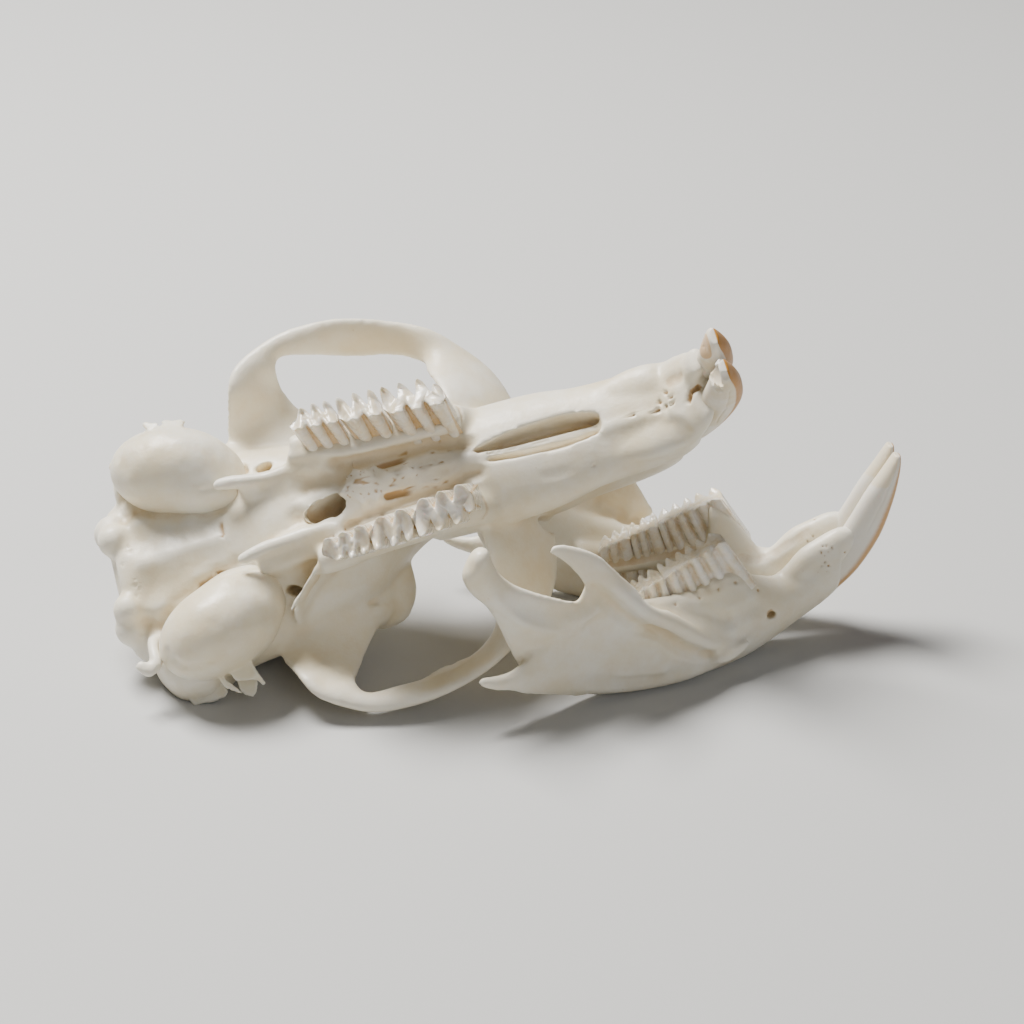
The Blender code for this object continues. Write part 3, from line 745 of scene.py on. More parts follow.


# Strokes on the skull; those of the base and the palate are on both sides. Their stains are partly painted
# shade in pits and grooves
skullStrokes = {
    # hollows, the line round the ear capsule, and the fossa beside the ridges
    "base": (
        (((4.6, 2.6, 4.8), (7.2, 2.7, 4.4)), 2.5, 0.42),
        (((8.8, 1.5, 3.9), (11.4, 1.6, 3.9)), 2, 0.22),
        (((3.4, 6, 5.8),), 1.6, 0.5, 0.1),
        (((4.6, 6.4, 6), (6.6, 5, 4.8), (10.3, 3.7, 4.2), (13.2, 3.1, 3.7)), 1.3, 0.4, 0.22),
        (((18.6, 7.2, 3.4), (20.6, 5.6, 3.2)), 1.9, 0.5, 0.1),
    ),
    "rightFossa": ((((22.4, 1.8, 1.4), (25.4, 1.7, 0.8)), 2.2, 0.35),),
    # a furrow, a pit at its start, and a pale yellow line round the front of the tooth row
    "palate": (
        (((25.5, 3.2, 0.3), (28.7, 2.8, 0), (31.7, 2.5, 0), (34.7, 2.4, 0), (38.3, 1.6, 0.2)),
         1.1, 0.55, 0.17),
        (((29.4, 1.75, 0), (31.4, 1.75, 0)), 0.55, 0.6, 0.62),
        (((36, 2.7, 0), (37.4, 2.9, 0), (38.4, 4.2, 0), (38.5, 5.6, 0.2), (38, 7.3, 0.4)),
         0.32, 0.14, 0.34),
    ),
    "middle": (
        # the seam across the base, and the base's and the palate's midlines
        (((12.7, -1.3, 3.7), (12.6, -0.9, 3.7), (12.75, -0.5, 3.6), (12.6, -0.1, 3.6)), 0.26, 0.2, 0.6),
        (((12.6, -2.6, 3.7), (12.7, 1.6, 3.7)), 0.9, 0.06, 0.13),
        (((20.6, 0.9, 1.6), (22.6, 1, 1)), 1.5, 0.4),
        (((9.6, 4.1, 4.6), (11.2, 3.5, 4.3)), 0.45, 0.5, 0.8),
        (((4.5, 0, 4.6), (8.5, 0.2, 3.9), (12, 0.1, 3.6)), 1.5, -0.2),
        (((30.5, 0, 0.2), (34, 0, 0), (38.3, 0, 0.2)), 0.8, -0.15),
        # the left front tooth's sheath ends in a soft crest
        (((51.4, 2.4, -0.4), (53.8, 2.2, -0.8), (55.9, 2.5, -1), (58, 3, -1.2), (59.8, 3.8, -1.4)),
         1.9, 0.12),
        (((51.4, 0.9, -0.4), (53.8, 0.7, -0.8), (55.9, 1, -1), (58, 1.5, -1.2), (59.8, 2.3, -1.4),
          (60.2, 3.1, -1.2), (59.6, 4.8, -0.6)), 1, -0.16),
    ),
    "front": (
        (((60.3, 1.1, -1.9), (60.7, 0.6, -2.2), (61.1, 0, -2.4)), 0.42, 0.5, 0.7),
        # the shallow hollow behind the right front tooth
        (((58.8, -1.6, -1.4), (60.2, -1.4, -2.2)), 1.1, 0.25, 0.28),
        (((44.8, 3.9, 0.4), (47, 3.6, 0.6)), 0.8, 0.12),
        (((49.3, 3.8, 1), (49.7, 3.9, 1)), 0.3, 0.2, 0.3),
    ),
}
skullPores = {
    # beside the crest, each (x, y, radius)
    "crest": (
        (57.9, -0.7, 0.34), (58.4, -0.2, 0.26), (57.3, 0, 0.34), (57, 0.4, 0.22), (57.6, 0.5, 0.24),
        (58.2, 0.5, 0.26), (58.7, 0.7, 0.24), (54.2, 0.4, 0.2), (56.6, 0.6, 0.2),
    ),
    "crestLevel": -1.2,
    "crestDepth": 0.45,
    "crestStainAndShade": 0.62,
    # over the palate's rear plate and the palate, and a few elsewhere: (how many, places, stain with painted
    # shade)
    "spread": (
        (44, ((25.6, 31), (-1.6, 1.3), (-0.5, -0.4)), (0.31, 0.62)),
        (22, ((31, 37), (-2.6, 2.6), (-0.1, 0.3)), (0.35, 0.7)),
        (6, ((22.6, 25), (3.4, 5), (0.4, 1.2)), (0.35, 0.7)),
        (8, ((2.4, 4.2), (-6.6, 6.6), (4.6, 6.6)), (0.175, 0.35)),
    ),
    "radius": (0.16, 0.27),
    "depth": (0.06, 0.18),
}
# painted shade, darker inside the openings: path, radius, strength of the shade, and the height over which
# it sets in
skullInsides = (
    (((21.5, 1, 3.6), (27.5, 0.6, 4.4)), 2.9, 0.45, 0.9),
    (((38.5, 0, 2.4), (44, 0, 2.8), (51.2, 0, 2.4)), 2.6, 0.5, 0.7),
    (((34.5, 5.9, 9.8), (47, 5.9, 9.4)), 2.2, 0.35, 0),
    (((34.5, -5.9, 9.8), (47, -5.9, 9.4)), 2.2, 0.35, 0),
)
insideBlend = 1.6


def carveSkull(made):
    skin = openSkin(made)
    for side in sides:
        strokes(skin, skullStrokes["base"], side)
        # pressed into the right side at both turns
        strokes(skin, skullStrokes["rightFossa"], -1)
        strokes(skin, skullStrokes["palate"], side)
    strokes(skin, skullStrokes["middle"])
    # pits beside the crest, darkened with stain and painted shade
    for x, y, radius in skullPores["crest"]:
        spot = (x, y, skullPores["crestLevel"])
        stroke(skin, (spot,), radius, skullPores["crestDepth"], skullPores["crestStainAndShade"])
    strokes(skin, skullStrokes["front"])
    for count, places, stain in skullPores["spread"]:
        scatter(skin, count, places, skullPores["radius"], skullPores["depth"], stain)
    points = skin["points"]
    # painted shade deep in the openings, kept in the stain and shade mark
    for path, radius, stain, height in skullInsides:
        inside = nearness(points, path, radius) * softStep((points[:, 2] - height) / insideBlend)
        skin["stain"] = np.maximum(skin["stain"], stain * inside)
    closeSkin(made, skin)


earCapsule = {
    "firstGrain": 0.25,
    "smoothing": 9,
    "flakeGrain": 0.1,
    "grain": 0.14,
    "triangles": 70000,
    "shift": {1: 0.8, -1: 0},
    "centre": (9.5, 8.6, 5),
    "radii": (6.5, 4.4, 5.2),
    "turn": -17,
    "front": (
        ((7.9, 8.6, 5), (0, 4.1, 0), (0, 0, 4.9)), ((11.3, 7.5, 4.9), (0.5, 4.2, 0), (0, 0, 4.5)),
        ((13.7, 6.7, 4.9), (0.8, 3.6, 0), (0, 0, 3.5)), ((15.3, 5.8, 5.1), (0.7, 2.7, 0), (0, 0, 2.2)),
        ((16.1, 5.2, 5.4), (0.3, 1.6, 0), (0, 0, 1)),
    ),
    "corner": ((7.8, 9.6, 5.4, 3.4), (5.4, 10.6, 5.8, 2), (3.6, 11.3, 6.2, 0.8), (3.1, 11.5, 6.3, 0.4)),
    "tube": ((11.7, 5.6, 4.4, 2.2), (13.9, 4.6, 4.3, 1.3), (15, 4.1, 4.3, 0.7)),
    "strokes": (
        (((4.2, 10.6, 1.6), (6, 12, 2.6), (9, 12.6, 2.8)), 0.9, 0.18),
        (((12, 4.6, 1.6), (14.6, 4.2, 2), (16.6, 3.6, 3)), 0.5, 0.1, 0.1),
    ),
    "dents": (26, ((4, 16), (5, 12), 0.5), (0.9, 2), (-0.07, 0.07)),    # how many, places, radius, depth
}


def bullaBody(shape, side):
    ball(shape, earCapsule["centre"], earCapsule["radii"], earCapsule["turn"], side)
    addParts(shape, earCapsule, ("front", "tube") if side > 0 else ("front", "tube", "corner"), side)
    bmesh.ops.translate(shape, verts=shape.verts, vec=(earCapsule["shift"][side], 0, 0))


# Torn edges round each ear opening: outline, then the way it is thick
earFlakes = {
    -1: (
        (((7.66, 13.31, 2.9), (7.56, 13.77, 3), (8.08, 13.79, 3), (8.46, 13.47, 2.9), (9.18, 13.39, 2.8),
          (9.28, 12.67, 2.3), (9.94, 12.92, 2.6), (9.75, 11.9, 1.8), (9.69, 10.7, 1.1), (9.5, 9.9, 1.4),
          (8.6, 10.2, 1.6), (8.2, 12, 2)), (0, 0.1, 0.45)),
        (((9.23, 11, 1.3), (9.72, 12, 1.9), (9.43, 13.32, 2.8), (9.99, 13.41, 2.9), (10.71, 13.01, 2.7),
          (11.53, 13.02, 2.9), (11.86, 12.7, 2.9), (11.57, 12.08, 2.4), (11.4, 11, 2.2), (10.4, 10, 1.6),
          (9.7, 9.9, 1.4)), (0, 0.1, 0.45)),
    ),
    1: (
        (((8.96, 12, 5.2), (9.5, 13.4, 5.2), (10.4, 14.52, 5.6), (10.91, 15.28, 6), (10.09, 14.84, 5.8),
          (9.23, 14.21, 5.5), (8.6, 12.4, 5.3)), (0.1, 0.1, 0.32)),
        (((10.04, 13, 4.8), (10.2, 11.9, 4.6), (12.2, 11.6, 4.6), (12.8, 13.75, 5.2), (13.27, 14.76, 5.8),
          (12.84, 14.95, 6), (12.55, 14.4, 5.8), (11.94, 14.2, 5.5), (10.43, 13.93, 5.3)),
         (0.05, 0.1, 0.34)),
        (((10.32, 12, 6.4), (12.45, 12.2, 6.4), (12.45, 14.1, 6.8), (12.12, 14.89, 7.2),
          (11.61, 15.35, 7.5), (10.86, 14.96, 7.4), (10.51, 14.44, 7.2)), (0, 0.1, 0.34)),
        (((3.66, 10.87, 7.4), (4.31, 11.58, 7.4), (4.52, 12.79, 7.8), (5.26, 13.5, 7.9), (5.73, 14.5, 8.2),
          (6.4, 14.37, 8), (7.33, 14.53, 8), (8.9, 14.45, 7.8), (9.35, 14.03, 7.5), (8.86, 12.6, 7),
          (7.5, 11, 7), (5, 10.2, 7.2)), (0, 0.12, 0.42)),
    ),
}


def drawFlakes(shape, side):
    for outline, rise in earFlakes[side]:
        plate(shape, outline, rise, side)


def buildCranium():
    room = placeOf(Vector(pose["craniumForward"]), Vector(pose["craniumLeft"]), pose["craniumPlace"])
    boneSurface = makeSurface("bone", boneLook)
    thinSurface = makeSurface("thin bone", thinBoneLook)
    molarSurface = makeSurface("upper molar enamel", molarLook)
    incisorSurface = makeSurface("upper front enamel", upperIncisorLook)
    made = drawn("cranium", drawSkull)
    fuse(made, craniumSkin["firstGrain"], craniumSkin["smoothing"])
    cutters = [drawn("hollow", drawHollows)]
    for side in sides:
        cutters.append(drawn("slit", drawPalateSlit, side))
        cutters.append(drawn("foramen", drawForamen, side))
        cutters.append(drawn("channel", levelLoft, sideHollows["channel"], side))
    combine(made, cutters, "DIFFERENCE")
    flange = drawn("flange", levelPlate, archFlange["outline"], archFlange["low"], archFlange["thick"])
    combine(made, [flange], "UNION")
    joinTo(made, drawn("palate", drawPalatePlate))
    fuse(made, craniumSkin["grain"], 2)
    thinOut(made, craniumSkin["triangles"])
    carveSkull(made)
    finish(made, "cranium", boneSurface, room,
           ("braincase", "snout_and_palate", "cheek_arch_left", "cheek_arch_right"))
    print("cranium:", len(made.data.polygons), "faces")
    for side, name in sides.items():
        bulla = drawn("bulla", bullaBody, side)
        fuse(bulla, earCapsule["firstGrain"], earCapsule["smoothing"])
        flakes = drawn("flakes", drawFlakes, side)
        fuse(flakes, earCapsule["flakeGrain"], 1)
        joinTo(bulla, flakes)
        fuse(bulla, earCapsule["grain"], 2)
        thinOut(bulla, earCapsule["triangles"])
        skin = openSkin(bulla)
        strokes(skin, earCapsule["strokes"], side)
        scatter(skin, *earCapsule["dents"], side=side)
        closeSkin(bulla, skin)
        finish(bulla, "ear_capsule_" + name, thinSurface, room, ("ear_bulla_" + name,))
        buildIncisor("upper_front_tooth_" + name, upperIncisor, side, incisorSurface, room,
                     ("upper_incisor_" + name,))
        buildRow("upper_molar_" + name, upperMolars, side, molarSurface, room)
    print("cranium pieces done")


# Molars: each is one winding outline drawn out, with cement in its valleys and a raised rim;
# a tooth's tips are (place along the row, share of the row's half width there)
upperMolars = {
    "origin": (22.5, 6.7, -3.75),
    "shift": {1: 0, -1: 0},
    "along": (1, -0.075, -0.03),
    "across": (0, 0.924, 0.383),
    "rise": (-0.22, 0.30, -0.93),
    "depth": 5.4,
    "halfWidth": (1.35, 1.83),
    "waist": 0.25,
    "rounding": {"outer": 0.22, "inner": 0.34},
    "blunt": {"outer": 0.36, "inner": 0.36},
    "cusp": {"outer": 1, "inner": 0.55},
    "lean": {"outer": 0.6, "inner": 0.5},
    # share of the half width at the top and lower down, and how far down that is
    "cement": (0.3, 0.72, 5),
    "cementStain": 0.8,
    "fan": (0, 0),    # the place along the row that it fans out from, and how much
    "teeth": (
        {"ends": (-0.5, 4.15),
         "outer": ((1.2, 0.9), (2.4, 1), (3.6, 1)),
         "inner": ((0.4, 0.85), (1.9, 0.85), (3.5, 0.85))},
        {"ends": (4.3, 8.5),
         "outer": ((4.9, 1), (6.5, 1.05), (8, 1)),
         "inner": ((5.7, 0.85), (7.6, 0.85))},
        {"ends": (8.65, 14.7),
         "outer": ((9.3, 1), (11, 1), (12.8, 1), (14.2, 0.6)),
         "inner": ((10, 0.92), (11.8, 0.95), (13.6, 0.95))},
    ),
}
lowerMolars = {
    "origin": (16.05, 5.75, 7.94),
    "shift": {1: 1.85, -1: 0},     # the left half lies further forward
    "along": (1, -0.119, 0.509),
    "across": (0.1, 0.99, 0),
    "rise": (-0.30, -0.02, 0.954),
    "depth": 6.4,
    "halfWidth": (1.25, 1.45),
    "waist": 0.6,
    "rounding": {"outer": 0.14, "inner": 0.14},
    "blunt": {"outer": 0.2, "inner": 0.2},
    "cusp": {"outer": 0.4, "inner": 0.35},
    "lean": {"outer": 0.5, "inner": 0.5},
    "cement": (0.62, 0.72, 5),
    "cementStain": 0.5,
    "fan": (5, 0.035),
    "teeth": (
        {"ends": (-0.3, 2.87),
         "outer": ((0.5, 0.9), (1.5, 1), (2.4, 1)),
         "inner": ((0.3, 0.9), (1.2, 1), (2.2, 1))},
        {"ends": (2.85, 5.74),
         "outer": ((3.3, 1), (4.4, 1), (5.4, 1)),
         "inner": ((3.2, 1), (4, 1), (4.95, 1))},
        {"ends": (5.7, 12),
         "outer": ((6.5, 1), (7.6, 1), (8.8, 1), (9.95, 1), (11.4, 0.85)),
         "inner": ((5.95, 1), (6.85, 1), (7.9, 1), (8.85, 1), (9.95, 1), (11.2, 0.85))},
    ),
}
molarShape = {
    "grain": 0.085,
    "triangles": 26000,
    "evenRounds": 6,
    "broadest": 0.7,          # share of the row's length where it reaches its full width
    "rearRounding": 0.1,
    "valleyRounding": 0.08,
    "frontRounding": 0.2,
    "frontWaist": 1.6,        # times the waist
    "cementEnd": 0.25,        # cement stops this far inside each end
    "cementTop": -0.35,
    "faceDepth": 0.25,        # the chewing face reaches this far down
    "blend": 0.2,
    "rim": 0.2,
    "basin": 0.2,
    "basinStain": 0.2,
    "cementShell": 0.14,      # cement shows this far either side of its own face
    "tipClear": 0.22,         # and not this near to a tip
    "slope": 0.85,
    "ridge": 0.7,
    "peak": 0.95,
    "dip": 0.35,
    # how many, height, radius and depth of small dents
    "dents": (24, ((-1.3, 1.3), (-0.6, 0.2)), (0.15, 0.35), (-0.07, 0.09)),
}


def halfWidthAt(row, x):
    narrow, broad = row["halfWidth"]
    length = row["teeth"][-1]["ends"][1]
    return narrow + (broad - narrow) * np.clip(x / (molarShape["broadest"] * length), 0, 1)


def windingOutline(tooth, row):
    # (x, y, rounding) round one tooth, tips and valleys in turn
    form = molarShape
    points = []
    rear, front = tooth["ends"]
    for key, sign in (("outer", 1), ("inner", -1)):
        tips = tooth[key]
        waist = sign * row["waist"]
        blunt = row["blunt"][key]
        line = [(rear, waist, form["rearRounding"])]
        for i, (x, reach) in enumerate(tips):
            tip = sign * reach * halfWidthAt(row, x)
            line.append((x - blunt, tip, row["rounding"][key]))
            line.append((x + blunt, tip, row["rounding"][key]))
            if i < len(tips) - 1:
                ahead = tips[i + 1][0]
                line.append((x + row["lean"][key] * (ahead - x), waist, form["valleyRounding"]))
        line.append((front, waist * form["frontWaist"], form["frontRounding"]))
        points += line if sign > 0 else line[::-1]
    return points


def drawMolar(shape, row, tooth):
    form = molarShape
    outline = windingOutline(tooth, row)
    corners = [shape.verts.new((x, y, -row["depth"])) for x, y, _ in outline]
    shape.faces.new(corners)
    for corner, (_, _, rounding) in zip(corners, outline):
        bmesh.ops.bevel(
            shape, geom=[corner], offset=rounding, offset_type="OFFSET", segments=3,
            profile=0.5, affect="VERTICES", material=-1,
        )
    grown = bmesh.ops.extrude_face_region(shape, geom=list(shape.faces))
    upper = [item for item in grown["geom"] if isinstance(item, bmesh.types.BMVert)]
    bmesh.ops.translate(shape, verts=upper, vec=(0, 0, row["depth"]))
    bmesh.ops.triangulate(shape, faces=[item for item in shape.faces if len(item.verts) > 4])
    # cement between the columns, wider towards the root
    narrow, wide, reach = row["cement"]
    rear, front = tooth["ends"]
    inset = form["cementEnd"]
    for corner in bmesh.ops.create_cube(shape, size=2)["verts"]:
        x = front - inset if corner.co.x > 0 else rear + inset
        z = form["cementTop"] if corner.co.z > 0 else -row["depth"]
        share = narrow if corner.co.z > 0 else narrow + (wide - narrow) * row["depth"] / reach
        corner.co = (x, corner.co.y * share * halfWidthAt(row, x), z)


def shapeMolar(skin, row, tooth):
    form = molarShape
    points = skin["points"]
    blend = form["blend"]
    outline = [spot[:2] for spot in windingOutline(tooth, row)]
    rim = distanceTo(points[:, :2], outline + outline[:1])
    onTop = softStep((points[:, 2] + form["faceDepth"]) / blend)
    basin = softStep((rim - form["rim"]) / blend) * onTop
    near = np.full(len(points), farAway)
    for key, sign in (("outer", 1), ("inner", -1)):
        own = points[:, 1] * sign > 0
        for x, _ in tooth[key]:
            near = np.where(own, np.minimum(near, np.abs(points[:, 0] - x)), near)
    width = halfWidthAt(row, points[:, 0])
    reach = np.abs(points[:, 1]) / width
    # cement is stained where it shows between the columns and under the tooth
    narrow, wide, full = row["cement"]
    cement = narrow + (wide - narrow) * np.clip(-points[:, 2], 0, row["depth"]) / full
    filled = softStep((form["cementShell"] - np.abs(reach - cement)) / 0.08)
    filled = filled * softStep((near - form["tipClear"]) / blend) * (1 - onTop)
    rear, front = tooth["ends"]
    rear += form["cementEnd"]
    front -= form["cementEnd"]
    ends = softStep((points[:, 0] - rear) / blend) * softStep((front - points[:, 0]) / blend)
    under = softStep((cement + 0.06 - reach) / 0.1) * (1 - onTop) * ends
    cementStain = np.maximum(filled, under) * row["cementStain"]
    skin["stain"] = np.maximum(cementStain, form["basinStain"] * basin)
    skin["facet"] = basin
    # tips stand up from the chewing face and its middles are worn hollow
    crest = sorted(
        [(x, share * halfWidthAt(row, x)) for x, share in tooth["outer"]]
        + [(x, -share * halfWidthAt(row, x)) for x, share in tooth["inner"]]
    )
    away = distanceTo(points[:, :2], crest)
    peak = np.clip(1 - near / form["peak"], 0, 1) * softStep(reach * 1.2)
    ridge = np.maximum(form["ridge"] * softStep(1 - away / form["slope"]), peak)
    lean = np.clip(points[:, 1] / width, -1, 1) * 0.5 + 0.5
    cusp = row["cusp"]["inner"] + (row["cusp"]["outer"] - row["cusp"]["inner"]) * lean
    worn = form["dip"] * (1 - ridge) + form["basin"] * basin * ridge
    points[:, 2] += onTop * (cusp * ridge - worn)
    centre, fan = row["fan"]
    points[:, 0] -= (points[:, 0] - centre) * fan * points[:, 2]


def buildRow(name, row, side, surface, place):
    along, across, rise = (Vector(row[key]) for key in ("along", "across", "rise"))
    turn = Matrix((along, across, rise)).transposed().to_4x4()
    origin = Vector(row["origin"]) + Vector((row["shift"][side], 0, 0))
    room = place @ Matrix.Diagonal((1, side, 1, 1)) @ Matrix.Translation(origin) @ turn
    count, heights, radius, depth = molarShape["dents"]
    for number, tooth in enumerate(row["teeth"]):
        made = drawn("molar", drawMolar, row, tooth)
        fuse(made, molarShape["grain"], 1)
        thinOut(made, molarShape["triangles"])
        skin = openSkin(made)
        shapeMolar(skin, row, tooth)
        scatter(skin, count, (tooth["ends"], *heights), radius, depth)
        closeSkin(made, skin, molarShape["evenRounds"])
        if turn.determinant() * side < 0:
            made.data.flip_normals()
        finish(made, f"{name}_{number + 1}", surface, room, ())


# Front teeth: (x, z, half width, half depth) from socket to tip, and the height where the wear starts
upperIncisor = {
    "offset": 1.62,
    "path": (
        (58.6, 4.8, 1.4, 1.7), (60.6, 3.2, 1.45, 1.8), (62.1, 0.4, 1.45, 2.1), (63, -2.8, 1.45, 2.05),
        (63.2, -6, 1.42, 1.62), (63.1, -7.9, 1.38, 1.22), (62.95, -9.3, 1.25, 0.75),
        (62.9, -10.2, 0.85, 0.4),
    ),
    "wear": -8.2,
    "band": (0.3, 0.55),
    "frontSign": 1,
}
lowerIncisor = {
    "offset": 1.38,
    "path": (
        (39.6, 6.2, 1.2, 1.7), (41.6, 8.6, 1.2, 2), (43.6, 12, 1.2, 1.95), (45, 15.5, 1.15, 1.55),
        (45.9, 17.9, 1.05, 1), (46.35, 19.4, 0.85, 0.6), (46.5, 20.1, 0.62, 0.34),
    ),
    "wear": 16.5,
    "band": (0, 0.9),
    "frontSign": -1,
}
incisorShape = {
    "grain": 0.12,
    "brokenGrain": 0.09,
    "triangles": 40000,
    "evenRounds": 8,
    # fine cracks run down the tooth
    "cracks": 4,
    "crackSpread": (-0.9, 0.9),
    "crack": (0.16, 0.03, 0.1),       # radius, depth, stain
    # layered folds where the broken tooth's dentine chipped away
    "folds": 5,
    "foldTop": -6.9,
    "foldGap": 0.55,
    "foldRadius": 0.3,
    "foldDepths": (-0.1, 0.12),
    # the worn oval on the back of the upper tooth, and the dish in it
    "ovalTall": 1.7,
    "ovalWide": 1.15,
    "dish": (61.9, -8.1),
    "dishRadius": 1.3,
    "dishDepth": 0.15,
    "lowerWearBlend": 0.8,
}
# what is broken off the left upper tooth, as lumps (centre, radii, turn)
brokenTip = (
    ((61.4, 1.2, -8.6), (1.75, 2.4, 1.7), 15),
    ((61.2, 2.6, -7.6), (1.5, 1, 1.1), 40),
    ((62.3, 0.2, -9.9), (1.5, 0.9, 1.2), -20),
    ((62.6, 3, -10.4), (1.4, 1, 0.9), 10),
)


def incisorStations(tooth):
    stations = []
    path = tooth["path"]
    for i, (x, z, wide, deep) in enumerate(path):
        before, after = path[max(i - 1, 0)], path[min(i + 1, len(path) - 1)]
        along = Vector((after[0] - before[0], 0, after[1] - before[1])).normalized()
        front = Vector((-along.z, 0, along.x)) * tooth["frontSign"]
        stations.append(((x, tooth["offset"], z), Vector((0, wide, 0)), front * deep))
    return stations


def drawBrokenTip(shape):
    for centre, radii, turn in brokenTip:
        ball(shape, centre, radii, turn)


def frontness(points, tooth, side):
    # 1 on the enamel front, −1 on the back
    best = np.full(len(points), farAway)
    front = np.zeros(len(points))
    for centre, _, forward in smoothRows(incisorStations(tooth), 6):
        away = points - np.array((centre.x, centre.y * side, centre.z))
        far = np.linalg.norm(away, axis=1)
        ahead = away @ np.array(forward) / forward.length_squared
        front = np.where(far < best, ahead, front)
        best = np.minimum(best, far)
    return front


def buildIncisor(name, tooth, side, surface, place, nodes):
    form = incisorShape
    upper = tooth is upperIncisor
    broken = upper and side > 0
    made = drawn("incisor", loft, incisorStations(tooth), side)
    fuse(made, form["grain"], 1)
    if broken:
        combine(made, [drawn("broken", drawBrokenTip)], "DIFFERENCE")
        fuse(made, form["brokenGrain"], 1)
    thinOut(made, form["triangles"])
    skin = openSkin(made)
    front = frontness(skin["points"], tooth, side)
    height = skin["points"][:, 2] - tooth["wear"]
    middle = tooth["offset"] * side
    if broken:
        worn = 0
        for i in range(form["folds"]):
            level = form["foldTop"] - form["foldGap"] * i
            fold = ((61.2, 0.5, level), (61.9, 1.5, level - 0.3), (62.2, 2.8, level + 0.1))
            stroke(skin, fold, form["foldRadius"], form["foldDepths"][i % 2])
    elif upper:
        across = (skin["points"][:, 1] - middle) / form["ovalWide"]
        worn = softStep((1.1 - (height / form["ovalTall"]) ** 2 - across ** 2) / 0.3)
        x, z = form["dish"]
        stroke(skin, ((x, middle, z),), form["dishRadius"], form["dishDepth"])
    else:
        worn = softStep(height / form["lowerWearBlend"])
    pale, full = tooth["band"]
    skin["enamel"] = softStep((front - pale) / (full - pale))
    skin["facet"] = worn * softStep((0.15 - front) / 0.3)
    for _ in range(form["cracks"]):
        y = middle + dice.uniform(*form["crackSpread"])
        path = [(x, y, z) for x, z, _, _ in tooth["path"][2:6]]
        stroke(skin, path, *form["crack"])
    closeSkin(made, skin, form["evenRounds"])
    finish(made, name, surface, place, nodes)


